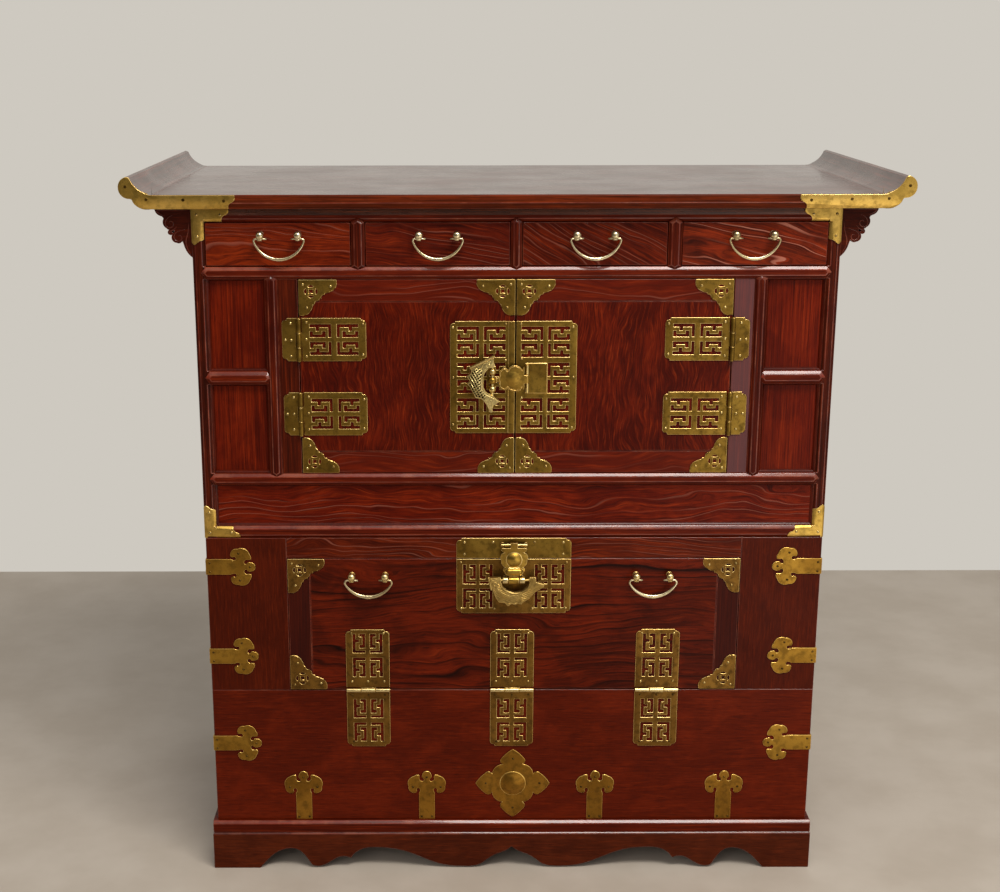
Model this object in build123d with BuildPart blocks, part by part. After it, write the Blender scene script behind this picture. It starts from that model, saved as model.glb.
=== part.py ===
from build123d import *
import math
import os

os.makedirs("parts", exist_ok=True)

# ---------------------------------------------------------------------------
# Two tier chest, millimetres. Z is up from the floor, X is across the front,
# Y runs back. Heights are from the floor, y values below are from the plane of
# the case front, and fy puts that plane in the part's own frame, whose origin
# is under the middle of the whole chest.
# ---------------------------------------------------------------------------
fy = -188.9                 # y of the case front plane
case_w = 387.5              # half width of the upper case
low_w = 386.5               # half width of the lower case
case_d = 385.0              # depth of both cases
post = 15.5                 # post section
post_in = case_w - post     # inner edge of the posts

top_z0, top_z1 = 867.5, 884.5       # top board
top_front, top_back = -21.0, 400.0
top_flat = 428.0                    # half length of the flat top board

plinth_w = 392.5
plinth_front = -8.0
apron_z = 51.6
apron_bevel = 2.2           # bevel along the top of the aprons
mould_z = 67.3              # top of the plinth moulding, bottom of the lower case
split_z = 455.8             # joint between lower and upper case

# face rails of the upper case, as bottom and top heights
bottom_rail = (split_z, 471.5)
door_rail = (525.6, 539.9)
drawer_rail = (782.3, 797.0)
top_rail = (850.3, top_z0)
cross_rail = (653.0, 669.3)
tip = 6.0                   # length of the pointed mitre at a rail's end
bevel_slope = 56.0          # angle of the wide bevels from the front direction
bevel_w, bevel_d = 3.9, 2.6 # sunk bevel of the posts and of the top and bottom rails
top_bevel_w = 9.0           # wider bevel under the top board

# drawers, as left and right edges of the openings
drawer_openings = [(-372.0, -197.5), (-181.0, -7.0), (7.0, 181.0), (197.5, 372.0)]
divider_x = [-189.25, 0.0, 189.25]
divider_w = [16.4, 14.0, 16.4]
pull_x = [-282.5, -93.7, 94.1, 283.0]
pull_z = 831.4              # height of the bails' ends
deck_z = 797.4
box_depth = 335.0

# doors
door_x0, door_x1 = 0.9, 261.7       # inner and outer edge of the right door
door_z0, door_z1 = 540.8, 781.5
door_t = 17.7
door_axis_x, door_axis_y = 262.3, -3.4
stile = (287.0, 302.0)
jamb = (262.9, 287.0)
hinge_z = [(589.0, 643.0), (682.0, 735.0)]
breadboard_z = (568.2, 754.9)

# fall front
flap_x = 285.0
flap_z0, flap_z1 = 252.0, 428.2
flap_t = 17.7
flap_axis_z, flap_axis_y = 251.2, -2.9
flap_hinge_x = [-185.7, -1.2, 184.5]
flap_hinge_w = 55.5
flap_strip = 257.0
low_rail_z = 429.0
bail_z = 402.8
bail_x = [-183.0, 175.0]

brass = 1.3                 # thickness of the brass plates
pin_r, pin_bore = 1.5, 1.56
flap_pin_r, flap_pin_bore = 1.2, 1.26

# locks: the bolt of each padlock is the pin that its eyes and lugs turn on
bolt_r, bolt_bore = 1.6, 1.68
door_bolt_x, door_bolt_y = -28.3, -13.5
flap_bolt_z, flap_bolt_y = 404.2, -13.5
hasp_x, hasp_y = 14.0, -5.4
crossbar_z, crossbar_y = 448.3, -7.0


# ---------------------------------------------------------------------------
# helpers
# ---------------------------------------------------------------------------
def front(y):
    """Plane parallel to the case front, y behind it; its sketches read (x, z)."""
    return Plane.XZ.offset(-(fy + y))


def board(x0, x1, y0, y1, z0, z1, mode=Mode.ADD):
    """A board between two corners."""
    with BuildSketch(Plane.XY.offset(z0)) as end:
        with Locations(((x0 + x1) / 2, fy + (y0 + y1) / 2)):
            Rectangle(x1 - x0, y1 - y0)
    extrude(end.sketch, amount=z1 - z0, mode=mode)


def pair(x0, x1, y0, y1, z0, z1, mode=Mode.ADD):
    """The same board on the right and on the left."""
    board(x0, x1, y0, y1, z0, z1, mode)
    board(-x1, -x0, y0, y1, z0, z1, mode)


def trace(steps):
    """Closed outline. Two numbers are a straight step, four an arc through the first two."""
    at = steps[0][-2:]
    for s in list(steps[1:]) + [steps[0][-2:]]:
        to = s[-2:]
        if len(s) == 4:
            ThreePointArc(at, s[:2], to)
        elif abs(at[0] - to[0]) + abs(at[1] - to[1]) > 1e-6:
            Line(at, to)
        at = to


def place(steps, cx=0.0, cz=0.0, u=(1, 0), v=(0, 1)):
    """Local outline (u, v) set at (cx, cz) with its axes along u and v."""
    out = []
    for s in steps:
        t = []
        for a, b in zip(s[0::2], s[1::2]):
            t += [cx + a * u[0] + b * v[0], cz + a * u[1] + b * v[1]]
        out.append(tuple(t))
    return out


def both_halves(half):
    """Half outline from (a, 0) to (0, b), closed by its mirror image across u = 0."""
    ends = [s[-2:] for s in half]
    out = list(half)
    for i in range(len(half) - 1, -1, -1):
        to = ends[i - 1] if i > 0 else None
        if i == len(half) - 1 and abs(ends[i][0]) > 1e-6:
            out.append((-ends[i][0], ends[i][1]))
        if to is None:
            break
        s = half[i]
        if len(s) == 4:
            out.append((-s[0], s[1], -to[0], to[1]))
        else:
            out.append((-to[0], to[1]))
    return out


def plate(outline, holes, y, thick, mode=Mode.ADD):
    """Flat plate whose back is y behind the front plane, thick towards the front."""
    with BuildSketch(front(y)) as face:
        with BuildLine():
            trace(outline)
        make_face()
        for hole in holes:
            with BuildLine():
                trace(hole)
            make_face(mode=Mode.SUBTRACT)
    extrude(face.sketch, amount=thick, mode=mode)


def prism_z(points, z0, z1, mode=Mode.ADD):
    """Upright prism from an outline of (x, y) points."""
    with BuildSketch(Plane.XY.offset(z0)) as end:
        Polygon(*[(x, fy + y) for x, y in points], align=None)
    extrude(end.sketch, amount=z1 - z0, mode=mode)


def prism_x(points, x0, x1, mode=Mode.ADD):
    """Prism along the front from an outline of (y, z) points."""
    with BuildSketch(Plane.YZ.offset(x0)) as end:
        Polygon(*[(fy + y, z) for y, z in points], align=None)
    extrude(end.sketch, amount=x1 - x0, mode=mode)


def moulding(points, height, bevel, mode=Mode.ADD):
    """Raised face of a rail or stile, proud of the front plane, with wide bevelled edges."""
    with BuildSketch(front(0)) as low:
        Polygon(*points, align=None)
    extrude(low.sketch, amount=height - bevel, mode=mode)
    with BuildSketch(front(-(height - bevel))) as high:
        Polygon(*points, align=None)
    extrude(high.sketch, amount=bevel, taper=bevel_slope, mode=mode)


def pointed_rail(x0, x1, z, t0=tip, t1=tip):
    zm = (z[0] + z[1]) / 2
    return [(x0, z[0]), (x1, z[0]), (x1 + t1, zm), (x1, z[1]), (x0, z[1]), (x0 - t0, zm)]


def pointed_stile(x, z0, z1, t=5.5):
    xm = (x[0] + x[1]) / 2
    return [(x[0], z0), (xm, z0 - t), (x[1], z0), (x[1], z1), (xm, z1 + t), (x[0], z1)]


def rod_z(x, y, z0, z1, r, mode=Mode.ADD):
    with BuildSketch(Plane.XY.offset(z0)) as ring:
        with Locations((x, fy + y)):
            Circle(r)
    extrude(ring.sketch, amount=z1 - z0, mode=mode)


def rod_x(y, z, x0, x1, r, mode=Mode.ADD):
    with BuildSketch(Plane.YZ.offset(x0)) as ring:
        with Locations((fy + y, z)):
            Circle(r)
    extrude(ring.sketch, amount=x1 - x0, mode=mode)


def rod_y(x, z, y0, y1, r, mode=Mode.ADD):
    """Round bar running forward from y0 to y1."""
    with BuildSketch(front(y0)) as ring:
        with Locations((x, z)):
            Circle(r)
    extrude(ring.sketch, amount=y0 - y1, mode=mode)


def ball(x, y, z, r, mode=Mode.ADD):
    """Round knob turned about the x axis through its middle."""
    with BuildSketch(Plane.XY.offset(z)) as half:
        with Locations((x, fy + y)):
            Circle(r)
            with Locations((0, -r)):
                Rectangle(2 * r, 2 * r, mode=Mode.SUBTRACT)
    revolve(half.sketch, axis=Axis((x, fy + y, z), (1, 0, 0)), revolution_arc=360, mode=mode)


def dome(x, z, y, r, rise, mode=Mode.ADD):
    """Spherical cap of radius r and height rise, its foot y behind the front plane."""
    big = (r * r + rise * rise) / (2 * rise)
    half = math.asin(r / big) / 2
    y0 = fy + y
    mid = (x + big * math.sin(half), y0 - rise + big * (1 - math.cos(half)))
    with BuildSketch(Plane.XY.offset(z)) as cap:
        with BuildLine():
            Polyline((x, y0 - rise), (x, y0 + 0.3), (x + r, y0 + 0.3), (x + r, y0))
            ThreePointArc((x + r, y0), mid, (x, y0 - rise))
        make_face()
    revolve(cap.sketch, axis=Axis((x, fy, z), (0, 1, 0)), revolution_arc=360, mode=mode)


def write(item, name):
    item.part.label = name
    export_step(item.part, f"parts/{name}.step")


# ---------------------------------------------------------------------------
# brass outlines
# ---------------------------------------------------------------------------
# one fret cell, u towards the centre of a group of four, v from its edge inward
FRET = [
    [(0, 0), (1, 0), (1, 1), (0.87, 1), (0.87, 0.24), (0.44, 0.24), (0.44, 0.52), (0.29, 0.52), (0.29, 0.24), (0, 0.24)],
    [(0, 0.54), (0.15, 0.54), (0.15, 0.78), (0.58, 0.78), (0.58, 0.54), (0.74, 0.54), (0.74, 1), (0, 1)],
]


def fret(cx, cz, w, h, bar_x, bar_z, upright=False, cells=((-1, 1), (1, 1), (-1, -1), (1, -1))):
    """Openings of a group of four fret cells centred at (cx, cz)."""
    cw, ch = (w - bar_x) / 2, (h - bar_z) / 2
    holes = []
    for sx, sz in cells:
        for cut in FRET:
            if upright:
                pts = [(v * cw, u * ch) for u, v in cut]
            else:
                pts = [(u * cw, v * ch) for u, v in cut]
            holes.append([(cx + sx * (w / 2 - a), cz + sz * (h / 2 - b)) for a, b in pts])
    return holes


def notched(x0, x1, z0, z1, corners):
    """Rectangle with cusped corners where corners names them: bl, br, tr, tl."""
    a, b, c = 6.4, 2.6, 6.4
    cusp = [(-a, 0), (-a + 0.7, -b), (-2.0, -3.3, 0, -c)]

    def corner(key, cx, cz, sx, sz, forward):
        if key not in corners:
            return [(cx, cz)]
        pts = [(cx + sx * s[0], cz + sz * s[1]) if len(s) == 2 else
               (cx + sx * s[0], cz + sz * s[1], cx + sx * s[2], cz + sz * s[3]) for s in cusp]
        if forward:
            return pts
        p0, p1, p2 = pts
        return [p2[2:], (p2[0], p2[1], p1[0], p1[1]), p0]

    return (corner("bl", x0, z0, -1, -1, False) + corner("br", x1, z0, 1, -1, True)[0:]
            + corner("tr", x1, z1, 1, 1, False) + corner("tl", x0, z1, -1, 1, True)[0:])


# lobed corner mount, u and v along the two edges from the corner
CORNER_HALF = [(0, 0), (46.5, 0), (46.0, 9.6, 39.4, 15.4), (35.6, 17.2, 32.6, 17.6), (31.9, 20.0),
               (29.4, 20.3, 27.6, 23.0), (27.2, 25.0, 25.4, 25.4)]
CORNER = CORNER_HALF + [
    (25.0, 27.2, 23.0, 27.6), (20.3, 29.4, 20.0, 31.9), (17.6, 32.6),
    (17.2, 35.6, 15.4, 39.4), (9.6, 46.0, 0, 46.5),
]


def coin(c=15.3):
    """Four petals and a waisted square, set on the diagonal of a corner mount."""
    out = []
    for ux, uz in ((1, 0), (0, 1), (-1, 0), (0, -1)):
        petal = [(-3.7, 6.2), (0, 8.3, 3.7, 6.2), (0, 5.5, -3.7, 6.2)]
        out.append(place(petal, c, c, (uz, -ux), (ux, uz)))
    q = 2.7
    out.append(place([(-q, -q), (0, -q + 0.7, q, -q), (q - 0.7, 0, q, q), (0, q - 0.7, -q, q), (-q + 0.7, 0, -q, -q)], c, c))
    return out


def corner_mount(x, z, sx, sz, along=1.0, up=1.0):
    """Pierced mount in the corner at (x, z), reaching towards sx and sz, its legs sized by along and up."""
    at = dict(cx=x, cz=z, u=(sx * along, 0), v=(0, sz * up))
    plate(place(CORNER, **at), [place(h, **at) for h in coin()], 0, brass)


# bat head strap, v along the strap from its plain end to the nose
BAT_HALF = [(10.75, 0), (10.75, 38), (9.6, 40, 9.4, 43), (12.0, 44.6, 13.9, 42.0), (14.6, 38.2, 18.2, 37.8),
            (23.4, 40.6, 24.9, 47.0), (25.0, 56.0, 17.6, 61.8), (13.4, 63.6, 9.9, 63.2), (9.9, 59.4),
            (9.4, 56.2, 7.0, 54.8), (4.6, 55.2, 4.5, 58.2), (6.6, 60.4, 6.2, 63.2), (4.8, 66.8, 0, 69.0)]


def bat(length=69.0):
    """Whole strap outline, its stem made shorter or longer to suit."""
    grow = length - 69.0
    half = [tuple(c + (grow if n else 0) if i % 2 else 0.955 * c for i, c in enumerate(s)) for n, s in enumerate(BAT_HALF)]
    return both_halves(half)


# ---------------------------------------------------------------------------
# top
# ---------------------------------------------------------------------------
SCROLL = [
    (top_flat, top_z1), (433.0, 885.1, 437.8, 887.4), (446.6, 893.4, 453.4, 904.0), (456.7, 905.7),
    (464.3, 901.4, 467.1, 892.9), (463.6, 883.9, 453.9, 880.0), (451.7, 879.4),
    (446.6, 871.4, 431.0, top_z0), (top_flat, top_z0),
]

# slope along the lower front edge of the top
UNDERCUT = [(top_front - 1, 874.8), (top_front, 874.8), (top_front + 4.5, top_z0), (top_front + 4.5, top_z0 - 1), (top_front - 1, top_z0 - 1)]

with BuildPart() as top_board:
    board(-top_flat, top_flat, top_front, top_back, top_z0, top_z1)
    # rounded front and back edges
    fillet(top_board.edges().filter_by(Axis.X).group_by(Axis.Z)[-1], 2.2)
    prism_x(UNDERCUT, -top_flat - 1, top_flat + 1, Mode.SUBTRACT)
write(top_board, "top_board")

with BuildPart() as top_scroll_ends:
    for side in (1, -1):
        plate(place(SCROLL, u=(side, 0)), [], top_back, top_back - top_front)
    prism_x(UNDERCUT, -470, 470, Mode.SUBTRACT)
write(top_scroll_ends, "top_scroll_ends")

# spandrel bracket, u out from the post, v down from the top board
BRACKET = [
    (0, 0), (43.2, 0), (41.8, 6.2, 36.4, 10.3), (34.2, 11.4, 32.9, 13.4), (33.6, 20.5, 29.6, 25.0),
    (28.0, 26.4, 26.6, 26.6), (28.6, 30.0, 25.6, 32.9), (24.4, 33.0, 23.4, 32.4), (23.6, 39.0, 18.2, 42.3),
    (13.9, 42.4, 11.8, 39.4), (10.2, 44.0, 8.9, 48.2), (5.2, 55.0, 0, 60.2),
]
with BuildPart() as spandrel_brackets:
    for side in (1, -1):
        for y in (18.0, 376.0):
            plate(place(BRACKET, side * case_w, top_z0, (side, 0), (0, -1)), [], y, 14.0)
        # small eye between the two curls, right through each bracket
        for y in (18.0, 376.0):
            rod_y(side * (case_w + 22.0), top_z0 - 28.6, y, y - 14.0, 1.5, Mode.SUBTRACT)
write(spandrel_brackets, "spandrel_brackets")

# ---------------------------------------------------------------------------
# upper case
# ---------------------------------------------------------------------------
with BuildPart() as upper_posts:
    pair(post_in, case_w, 0, 24, split_z, top_z0)
    pair(post_in, case_w, case_d - 24, case_d, split_z, top_z0)
    # bevels up both edges of the front posts, the inner ones stopping at the rails
    for side in (1, -1):
        prism_z([(side * (case_w - bevel_w), 0), (side * (case_w - bevel_w), -1), (side * (case_w + 1), -1), (side * (case_w + 1), bevel_d),
                 (side * case_w, bevel_d)], split_z - 1, top_z0 + 1, Mode.SUBTRACT)
        for z0, z1 in ((bottom_rail[1], door_rail[0]), (door_rail[1], cross_rail[0]), (cross_rail[1], drawer_rail[0]),
                       (drawer_rail[1], top_rail[0])):
            prism_z([(side * (post_in + bevel_w), 0), (side * (post_in + bevel_w), -1), (side * (post_in - 1), -1),
                     (side * (post_in - 1), bevel_d), (side * post_in, bevel_d)], z0, z1, Mode.SUBTRACT)
write(upper_posts, "upper_posts")

rail_h, rail_b = 3.2, 2.6
divider_h, stile_h, cross_h = 3.7, 3.7, 4.2


def rail_bevel(z_edge, inward, x0, x1, lift=0.0, w=bevel_w):
    """Sunk bevel along one edge of a rail, from z_edge towards inward (1 up, -1 down)."""
    prism_x([(-lift, z_edge + inward * w), (-6, z_edge + inward * w), (-6, z_edge - inward), (bevel_d - lift, z_edge - inward),
             (bevel_d - lift, z_edge)], x0, x1, Mode.SUBTRACT)


def divider_face(i, mode=Mode.ADD):
    x = (divider_x[i] - divider_w[i] / 2, divider_x[i] + divider_w[i] / 2)
    moulding(pointed_stile(x, drawer_rail[1], top_rail[0]), divider_h, rail_b, mode)


def stile_face(side, mode=Mode.ADD):
    x = sorted((side * stile[0], side * stile[1]))
    moulding(pointed_stile(x, door_rail[1], drawer_rail[0]), stile_h, rail_b, mode)


def cross_face(side, mode=Mode.ADD):
    a, b = sorted((side * stile[1], side * post_in))
    moulding(pointed_rail(a, b, cross_rail), cross_h, rail_b + 0.4, mode)


with BuildPart() as upper_face_rails:
    board(-post_in, post_in, 0, 22, *top_rail)
    for z in (drawer_rail, door_rail):
        board(-post_in, post_in, 0, 22, *z)
        moulding(pointed_rail(-post_in, post_in, z), rail_h, rail_b)
    board(-post_in, post_in, 0, 22, *bottom_rail)
    rail_bevel(top_rail[0], 1, -post_in - 1, post_in + 1)
    rail_bevel(top_rail[1], -1, -post_in - 1, post_in + 1, w=top_bevel_w)
    rail_bevel(bottom_rail[0], 1, -post_in - 1, post_in + 1)
    rail_bevel(bottom_rail[1], -1, -post_in - 1, post_in + 1)
    for side in (1, -1):
        a, b = sorted((side * stile[1], side * post_in))
        board(a, b, 0, 22, *cross_rail)
        cross_face(side)
    # seats for the pointed ends of the dividers and stiles
    for i in range(3):
        divider_face(i, Mode.SUBTRACT)
    for side in (1, -1):
        stile_face(side, Mode.SUBTRACT)
        cross_face(side)
write(upper_face_rails, "upper_face_rails")

with BuildPart() as drawer_dividers:
    for i in range(3):
        board(divider_x[i] - divider_w[i] / 2, divider_x[i] + divider_w[i] / 2, 0, 22, drawer_rail[1], top_rail[0])
        divider_face(i)
write(drawer_dividers, "drawer_dividers")

with BuildPart() as door_stiles:
    for side in (1, -1):
        a, b = sorted((side * stile[0], side * stile[1]))
        board(a, b, 0, 22, door_rail[1], drawer_rail[0])
        stile_face(side)
        cross_face(side, Mode.SUBTRACT)
write(door_stiles, "door_stiles")

with BuildPart() as door_jambs:
    pair(jamb[0], jamb[1], 0, 18, door_rail[1], drawer_rail[0])
    # stops that the doors close against, above and below
    for z0, z1 in ((773.0, drawer_rail[0]), (door_rail[1], 550.0)):
        board(-262.5, 262.5, 18, 27, z0, z1)
write(door_jambs, "door_jambs")

with BuildPart() as front_panels:
    pair(stile[1], post_in, 6, 13, door_rail[1], cross_rail[0])
    pair(stile[1], post_in, 6, 13, cross_rail[1], drawer_rail[0])
    board(-post_in, post_in, 5, 13, bottom_rail[1], door_rail[0])
write(front_panels, "front_panels")

side_rails_z = [bottom_rail, door_rail, drawer_rail, (850.3, top_z0)]
with BuildPart() as upper_side_rails:
    for z in side_rails_z:
        pair(post_in, case_w, 24, case_d - 24, *z)
    # short stile that divides the tall middle panel
    pair(post_in, case_w, case_d / 2 - 8, case_d / 2 + 8, door_rail[1], drawer_rail[0])
    arrises = upper_side_rails.edges().filter_by(Axis.Y).group_by(Axis.X)
    chamfer(list(arrises[0]) + list(arrises[-1]), 1.6)
write(upper_side_rails, "upper_side_rails")

with BuildPart() as upper_side_panels:
    pair(376.0, 383.0, 24, case_d - 24, bottom_rail[1], door_rail[0])
    pair(376.0, 383.0, 24, case_d / 2 - 8, door_rail[1], drawer_rail[0])
    pair(376.0, 383.0, case_d / 2 + 8, case_d - 24, door_rail[1], drawer_rail[0])
    pair(376.0, 383.0, 24, case_d - 24, drawer_rail[1], 850.3)
write(upper_side_panels, "upper_side_panels")

with BuildPart() as upper_back_panel:
    board(-post_in, post_in, 377, 383, split_z, top_z0)
write(upper_back_panel, "upper_back_panel")

with BuildPart() as drawer_deck:
    board(-post_in, post_in, 22, 377, 785.0, deck_z)
    for i in range(3):
        board(divider_x[i] - divider_w[i] / 2 + 0.5, divider_x[i] + divider_w[i] / 2 - 0.5, 22, 377, deck_z, 850.0)
    # guides along the sides and stops at the back
    pair(371.6, 376.0, 24, case_d - 24, deck_z, 812.0)
write(drawer_deck, "drawer_deck")

with BuildPart() as upper_shelves:
    board(-post_in, post_in, 27, 377, 655.0, 667.0)
    board(-post_in, post_in, 22, 377, 527.9, door_rail[1])
write(upper_shelves, "upper_shelves")

# ---------------------------------------------------------------------------
# lower case
# ---------------------------------------------------------------------------
with BuildPart() as lower_front_board:
    board(-low_w, low_w, 0, 18, mould_z, 250.4)
write(lower_front_board, "lower_front_board")

with BuildPart() as lower_front_stiles:
    pair(flap_x + 0.8, low_w, 0, 18, 250.4, split_z)
    # strips behind the edges of the fall front, which it closes against
    pair(279.0, 301.0, 18, 30, 250.4, 443.8)
write(lower_front_stiles, "lower_front_stiles")

with BuildPart() as lower_top_rail:
    board(-flap_x - 0.8, flap_x + 0.8, 0, 18, low_rail_z, split_z)
write(lower_top_rail, "lower_top_rail")

with BuildPart() as lower_sides:
    pair(370.5, low_w, 18, case_d, mould_z, split_z)
write(lower_sides, "lower_sides")

with BuildPart() as lower_boards:
    board(-370.5, 370.5, 18, 377, 443.8, split_z)
    board(-370.5, 370.5, 18, 377, mould_z, 79.3)
write(lower_boards, "lower_boards")

with BuildPart() as lower_back_panel:
    board(-370.5, 370.5, 377, case_d, mould_z, split_z)
write(lower_back_panel, "lower_back_panel")

# ---------------------------------------------------------------------------
# plinth
# ---------------------------------------------------------------------------
plinth_back = case_d + 6.0
with BuildPart() as plinth_moulding:
    with BuildSketch(Plane.XY.offset(apron_z)):
        with Locations((0, fy + (plinth_front + 0.8 + plinth_back) / 2)):
            Rectangle(2 * plinth_w - 1.2, plinth_back - plinth_front - 0.8)
            Rectangle(2 * plinth_w - 90.0, plinth_back - plinth_front - 90.0, mode=Mode.SUBTRACT)
    extrude(amount=mould_z - apron_z)
    chamfer(plinth_moulding.edges().group_by(Axis.Z)[-1].sort_by(SortBy.LENGTH)[-4:], 3.4)
write(plinth_moulding, "plinth_moulding")

SCALLOP = [
    [(332, 0), (326.5, 6.4), (320.5, 13.4), (314, 19.6), (307, 24.4), (299, 27.6), (290.5, 28.8), (284, 27.8), (278.5, 24.8),
     (273, 19.2), (268, 11.8), (263.6, 4.6)],
    [(263.6, 4.6), (256, 2.4), (247, 4.4), (235, 11.9), (212, 14.4)],
    [(212, 14.4), (204, 23.5), (195, 28), (174, 29.8), (146, 26.0), (122, 17.0), (103, 8.7), (84, 3.6), (65, 2.2), (51, 2.6),
     (41, 5.6), (28, 15.4), (18, 20.6), (9, 24.4), (0, 31.1)],
]
with BuildPart() as plinth_front_apron:
    with BuildSketch(front(10)):
        with BuildLine():
            Polyline((332, 0), (plinth_w, 0), (plinth_w, apron_z), (-plinth_w, apron_z), (-plinth_w, 0), (-332, 0))
            for side in (1, -1):
                for run in SCALLOP:
                    Spline(*[(side * a, b) for a, b in run])
        make_face()
    extrude(amount=10 - plinth_front)
    # bevelled top arris, under the moulding
    arris = plinth_front_apron.faces().sort_by(Axis.Z)[-1].edges()
    chamfer(list(arris.filter_by(Axis.Y)) + [arris.filter_by(Axis.X).sort_by(Axis.Y)[0]], apron_bevel)
write(plinth_front_apron, "plinth_front_apron")

with BuildPart() as plinth_side_aprons:
    # bracket feet joined by a shallow shaped rail
    for x in (plinth_w - 18.0, -plinth_w):
        with BuildSketch(Plane.YZ.offset(x)):
            with BuildLine():
                a, b = fy + 10.0, fy + plinth_back - 18.0
                Polyline((a + 52, 0), (a, 0), (a, apron_z), (b, apron_z), (b, 0), (b - 52, 0))
                Spline((a + 52, 0), (a + 60, 11), (a + 76, 20), (a + 96, 27))
                Spline((a + 96, 27), (a + 104, 20.5), (a + 122, 17.5), (a + 146, 19.0))
                Spline((b - 52, 0), (b - 60, 11), (b - 76, 20), (b - 96, 27))
                Spline((b - 96, 27), (b - 104, 20.5), (b - 122, 17.5), (b - 146, 19.0))
                Line((a + 146, 19.0), (b - 146, 19.0))
            make_face()
        extrude(amount=18.0)
    top_arrises = plinth_side_aprons.edges().filter_by(Axis.Y).group_by(Axis.Z)[-1].sort_by(Axis.X)
    chamfer([top_arrises[0], top_arrises[-1]], apron_bevel)
write(plinth_side_aprons, "plinth_side_aprons")

with BuildPart() as plinth_rear_apron:
    with BuildSketch(front(plinth_back)):
        with BuildLine():
            Polyline((plinth_w, 0), (plinth_w, apron_z), (-plinth_w, apron_z), (-plinth_w, 0), (-330, 0),
                     (-312, 20), (312, 20), (330, 0), (plinth_w, 0))
        make_face()
    extrude(amount=18.0)
write(plinth_rear_apron, "plinth_rear_apron")

# ---------------------------------------------------------------------------
# brass fixed to the case
# ---------------------------------------------------------------------------
# the wood stands back by nothing: sheet brass lies on its faces
EDGE_MOUNT = [(331.7, 884.2), (top_flat, 884.2)] + SCROLL[1:8] + [
    (431.0, top_z0), (339.0, top_z0), (338.6, 872.4, 334.8, 875.6), (331.6, 878.6, 331.7, 884.2)]
L_TOP = [(372.2, 866.8), (387.5, 866.8), (387.5, 826.0), (384.4, 823.2), (380.2, 825.6, 378.2, 827.6), (372.2, 829.4),
         (372.2, 850.6), (350.6, 850.6), (349.8, 856.0, 346.4, 858.6), (343.0, 861.0, 342.3, 866.8)]
L_BOTTOM = [(387.5, 456.0), (387.5, 496.0), (384.6, 499.0), (380.6, 496.6, 378.6, 494.6), (372.2, 492.8), (372.2, 471.3),
            (351.2, 471.3), (350.4, 466.2, 347.0, 463.4), (343.6, 461.4, 343.0, 456.0)]
with BuildPart() as case_corner_mounts:
    # sheet folded over the sloping edge of the top, and over the bevels of post and rail
    for side in (1, -1):
        plate(place(EDGE_MOUNT, u=(side, 0)), [], top_front + 5.0, 6.2)
        plate(place(L_TOP, u=(side, 0)), [], bevel_d, bevel_d + brass)
        plate(place(L_BOTTOM, u=(side, 0)), [], bevel_d, bevel_d + brass)
    for wood in (top_board, top_scroll_ends, upper_posts, upper_face_rails):
        add(wood.part, mode=Mode.SUBTRACT)
    prism_x([(top_front - 1.3, 874.4), (top_front + 3.1, top_z0 - 0.3), (top_front + 6, top_z0 - 0.3), (top_front + 6, top_z0 - 2),
             (top_front - 3, top_z0 - 2), (top_front - 3, 874.4)], -470, 470, Mode.SUBTRACT)
    for side in (1, -1):
        for z0, z1, x in ((819.0, 866.9, case_w), (455.8, 503.0, case_w), (819.0, 850.6, -post_in), (471.3, 503.0, -post_in)):
            edge, way = (side * abs(x), -side if x > 0 else side)
            prism_z([(edge + way * bevel_w, -brass), (edge + way * bevel_w, -brass - 1), (edge - way, -brass - 1),
                     (edge - way, bevel_d - brass), (edge, bevel_d - brass)], z0, z1, Mode.SUBTRACT)
        a, b = sorted((side * 340.0, side * post_in))
        rail_bevel(top_rail[0], 1, a, b, brass)
        rail_bevel(bottom_rail[1], -1, a, b, brass)
        rail_bevel(bottom_rail[0], 1, *sorted((side * 340.0, side * (case_w - bevel_w))), brass)
write(case_corner_mounts, "case_corner_mounts")

strap_z = [418.0, 297.5, 176.5]
stem = 0.955 * BAT_HALF[0][0]
with BuildPart() as side_straps:
    for side in (1, -1):
        for z in strap_z:
            # on the front, nose towards the middle
            plate(place(bat(low_w - 325.0), side * low_w, z, (0, 1), (-side, 0)), [], 0, brass)
            # folded round the arris and along the side of the case
            with BuildSketch(Plane.YZ.offset(side * low_w)) as wing:
                with BuildLine():
                    trace(place(bat(61.5), fy, z, (0, 1), (1, 0)))
                make_face()
            extrude(wing.sketch, amount=side * brass)
            board(*sorted((side * low_w, side * (low_w + brass))), -brass, 0, z - stem, z + stem)
write(side_straps, "side_straps")

with BuildPart() as base_mounts:
    for x in (-272.3, -111.3, 108.5, 277.0):
        plate(place(bat(69.0), x, mould_z, (1, 0), (0, 1)), [], 0, brass)
    # flower boss: four pointed petals round a dome
    quarter = [(26.8, 13.4), (22.6, 22.6, 13.4, 26.8)] + [(15.8, 29.6, 14.2, 36.0), (8.8, 42.0, 0, 48.4),
               (-8.8, 42.0, -14.2, 36.0), (-15.8, 29.6, -13.4, 26.8)]
    flower = []
    for ux, uz in ((1, 0), (0, 1), (-1, 0), (0, -1)):
        flower += place(quarter, 0.9, 119.0, (ux, uz), (-uz, ux))
    plate(flower, [], 0, brass)
    rod_y(0.9, 119.0, -brass + 0.3, -brass - 0.8, 16.6)
    dome(0.9, 119.0, -brass - 0.8, 14.4, 4.6)
write(base_mounts, "base_mounts")


def hinge_zones(z0, z1):
    """Three knuckles of a door hinge: lower, middle, upper, with clearance between them."""
    third = (z1 - z0) / 3
    return [(z0, z0 + third - 0.3), (z0 + third + 0.3, z1 - third - 0.3), (z1 - third + 0.3, z1)]


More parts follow.
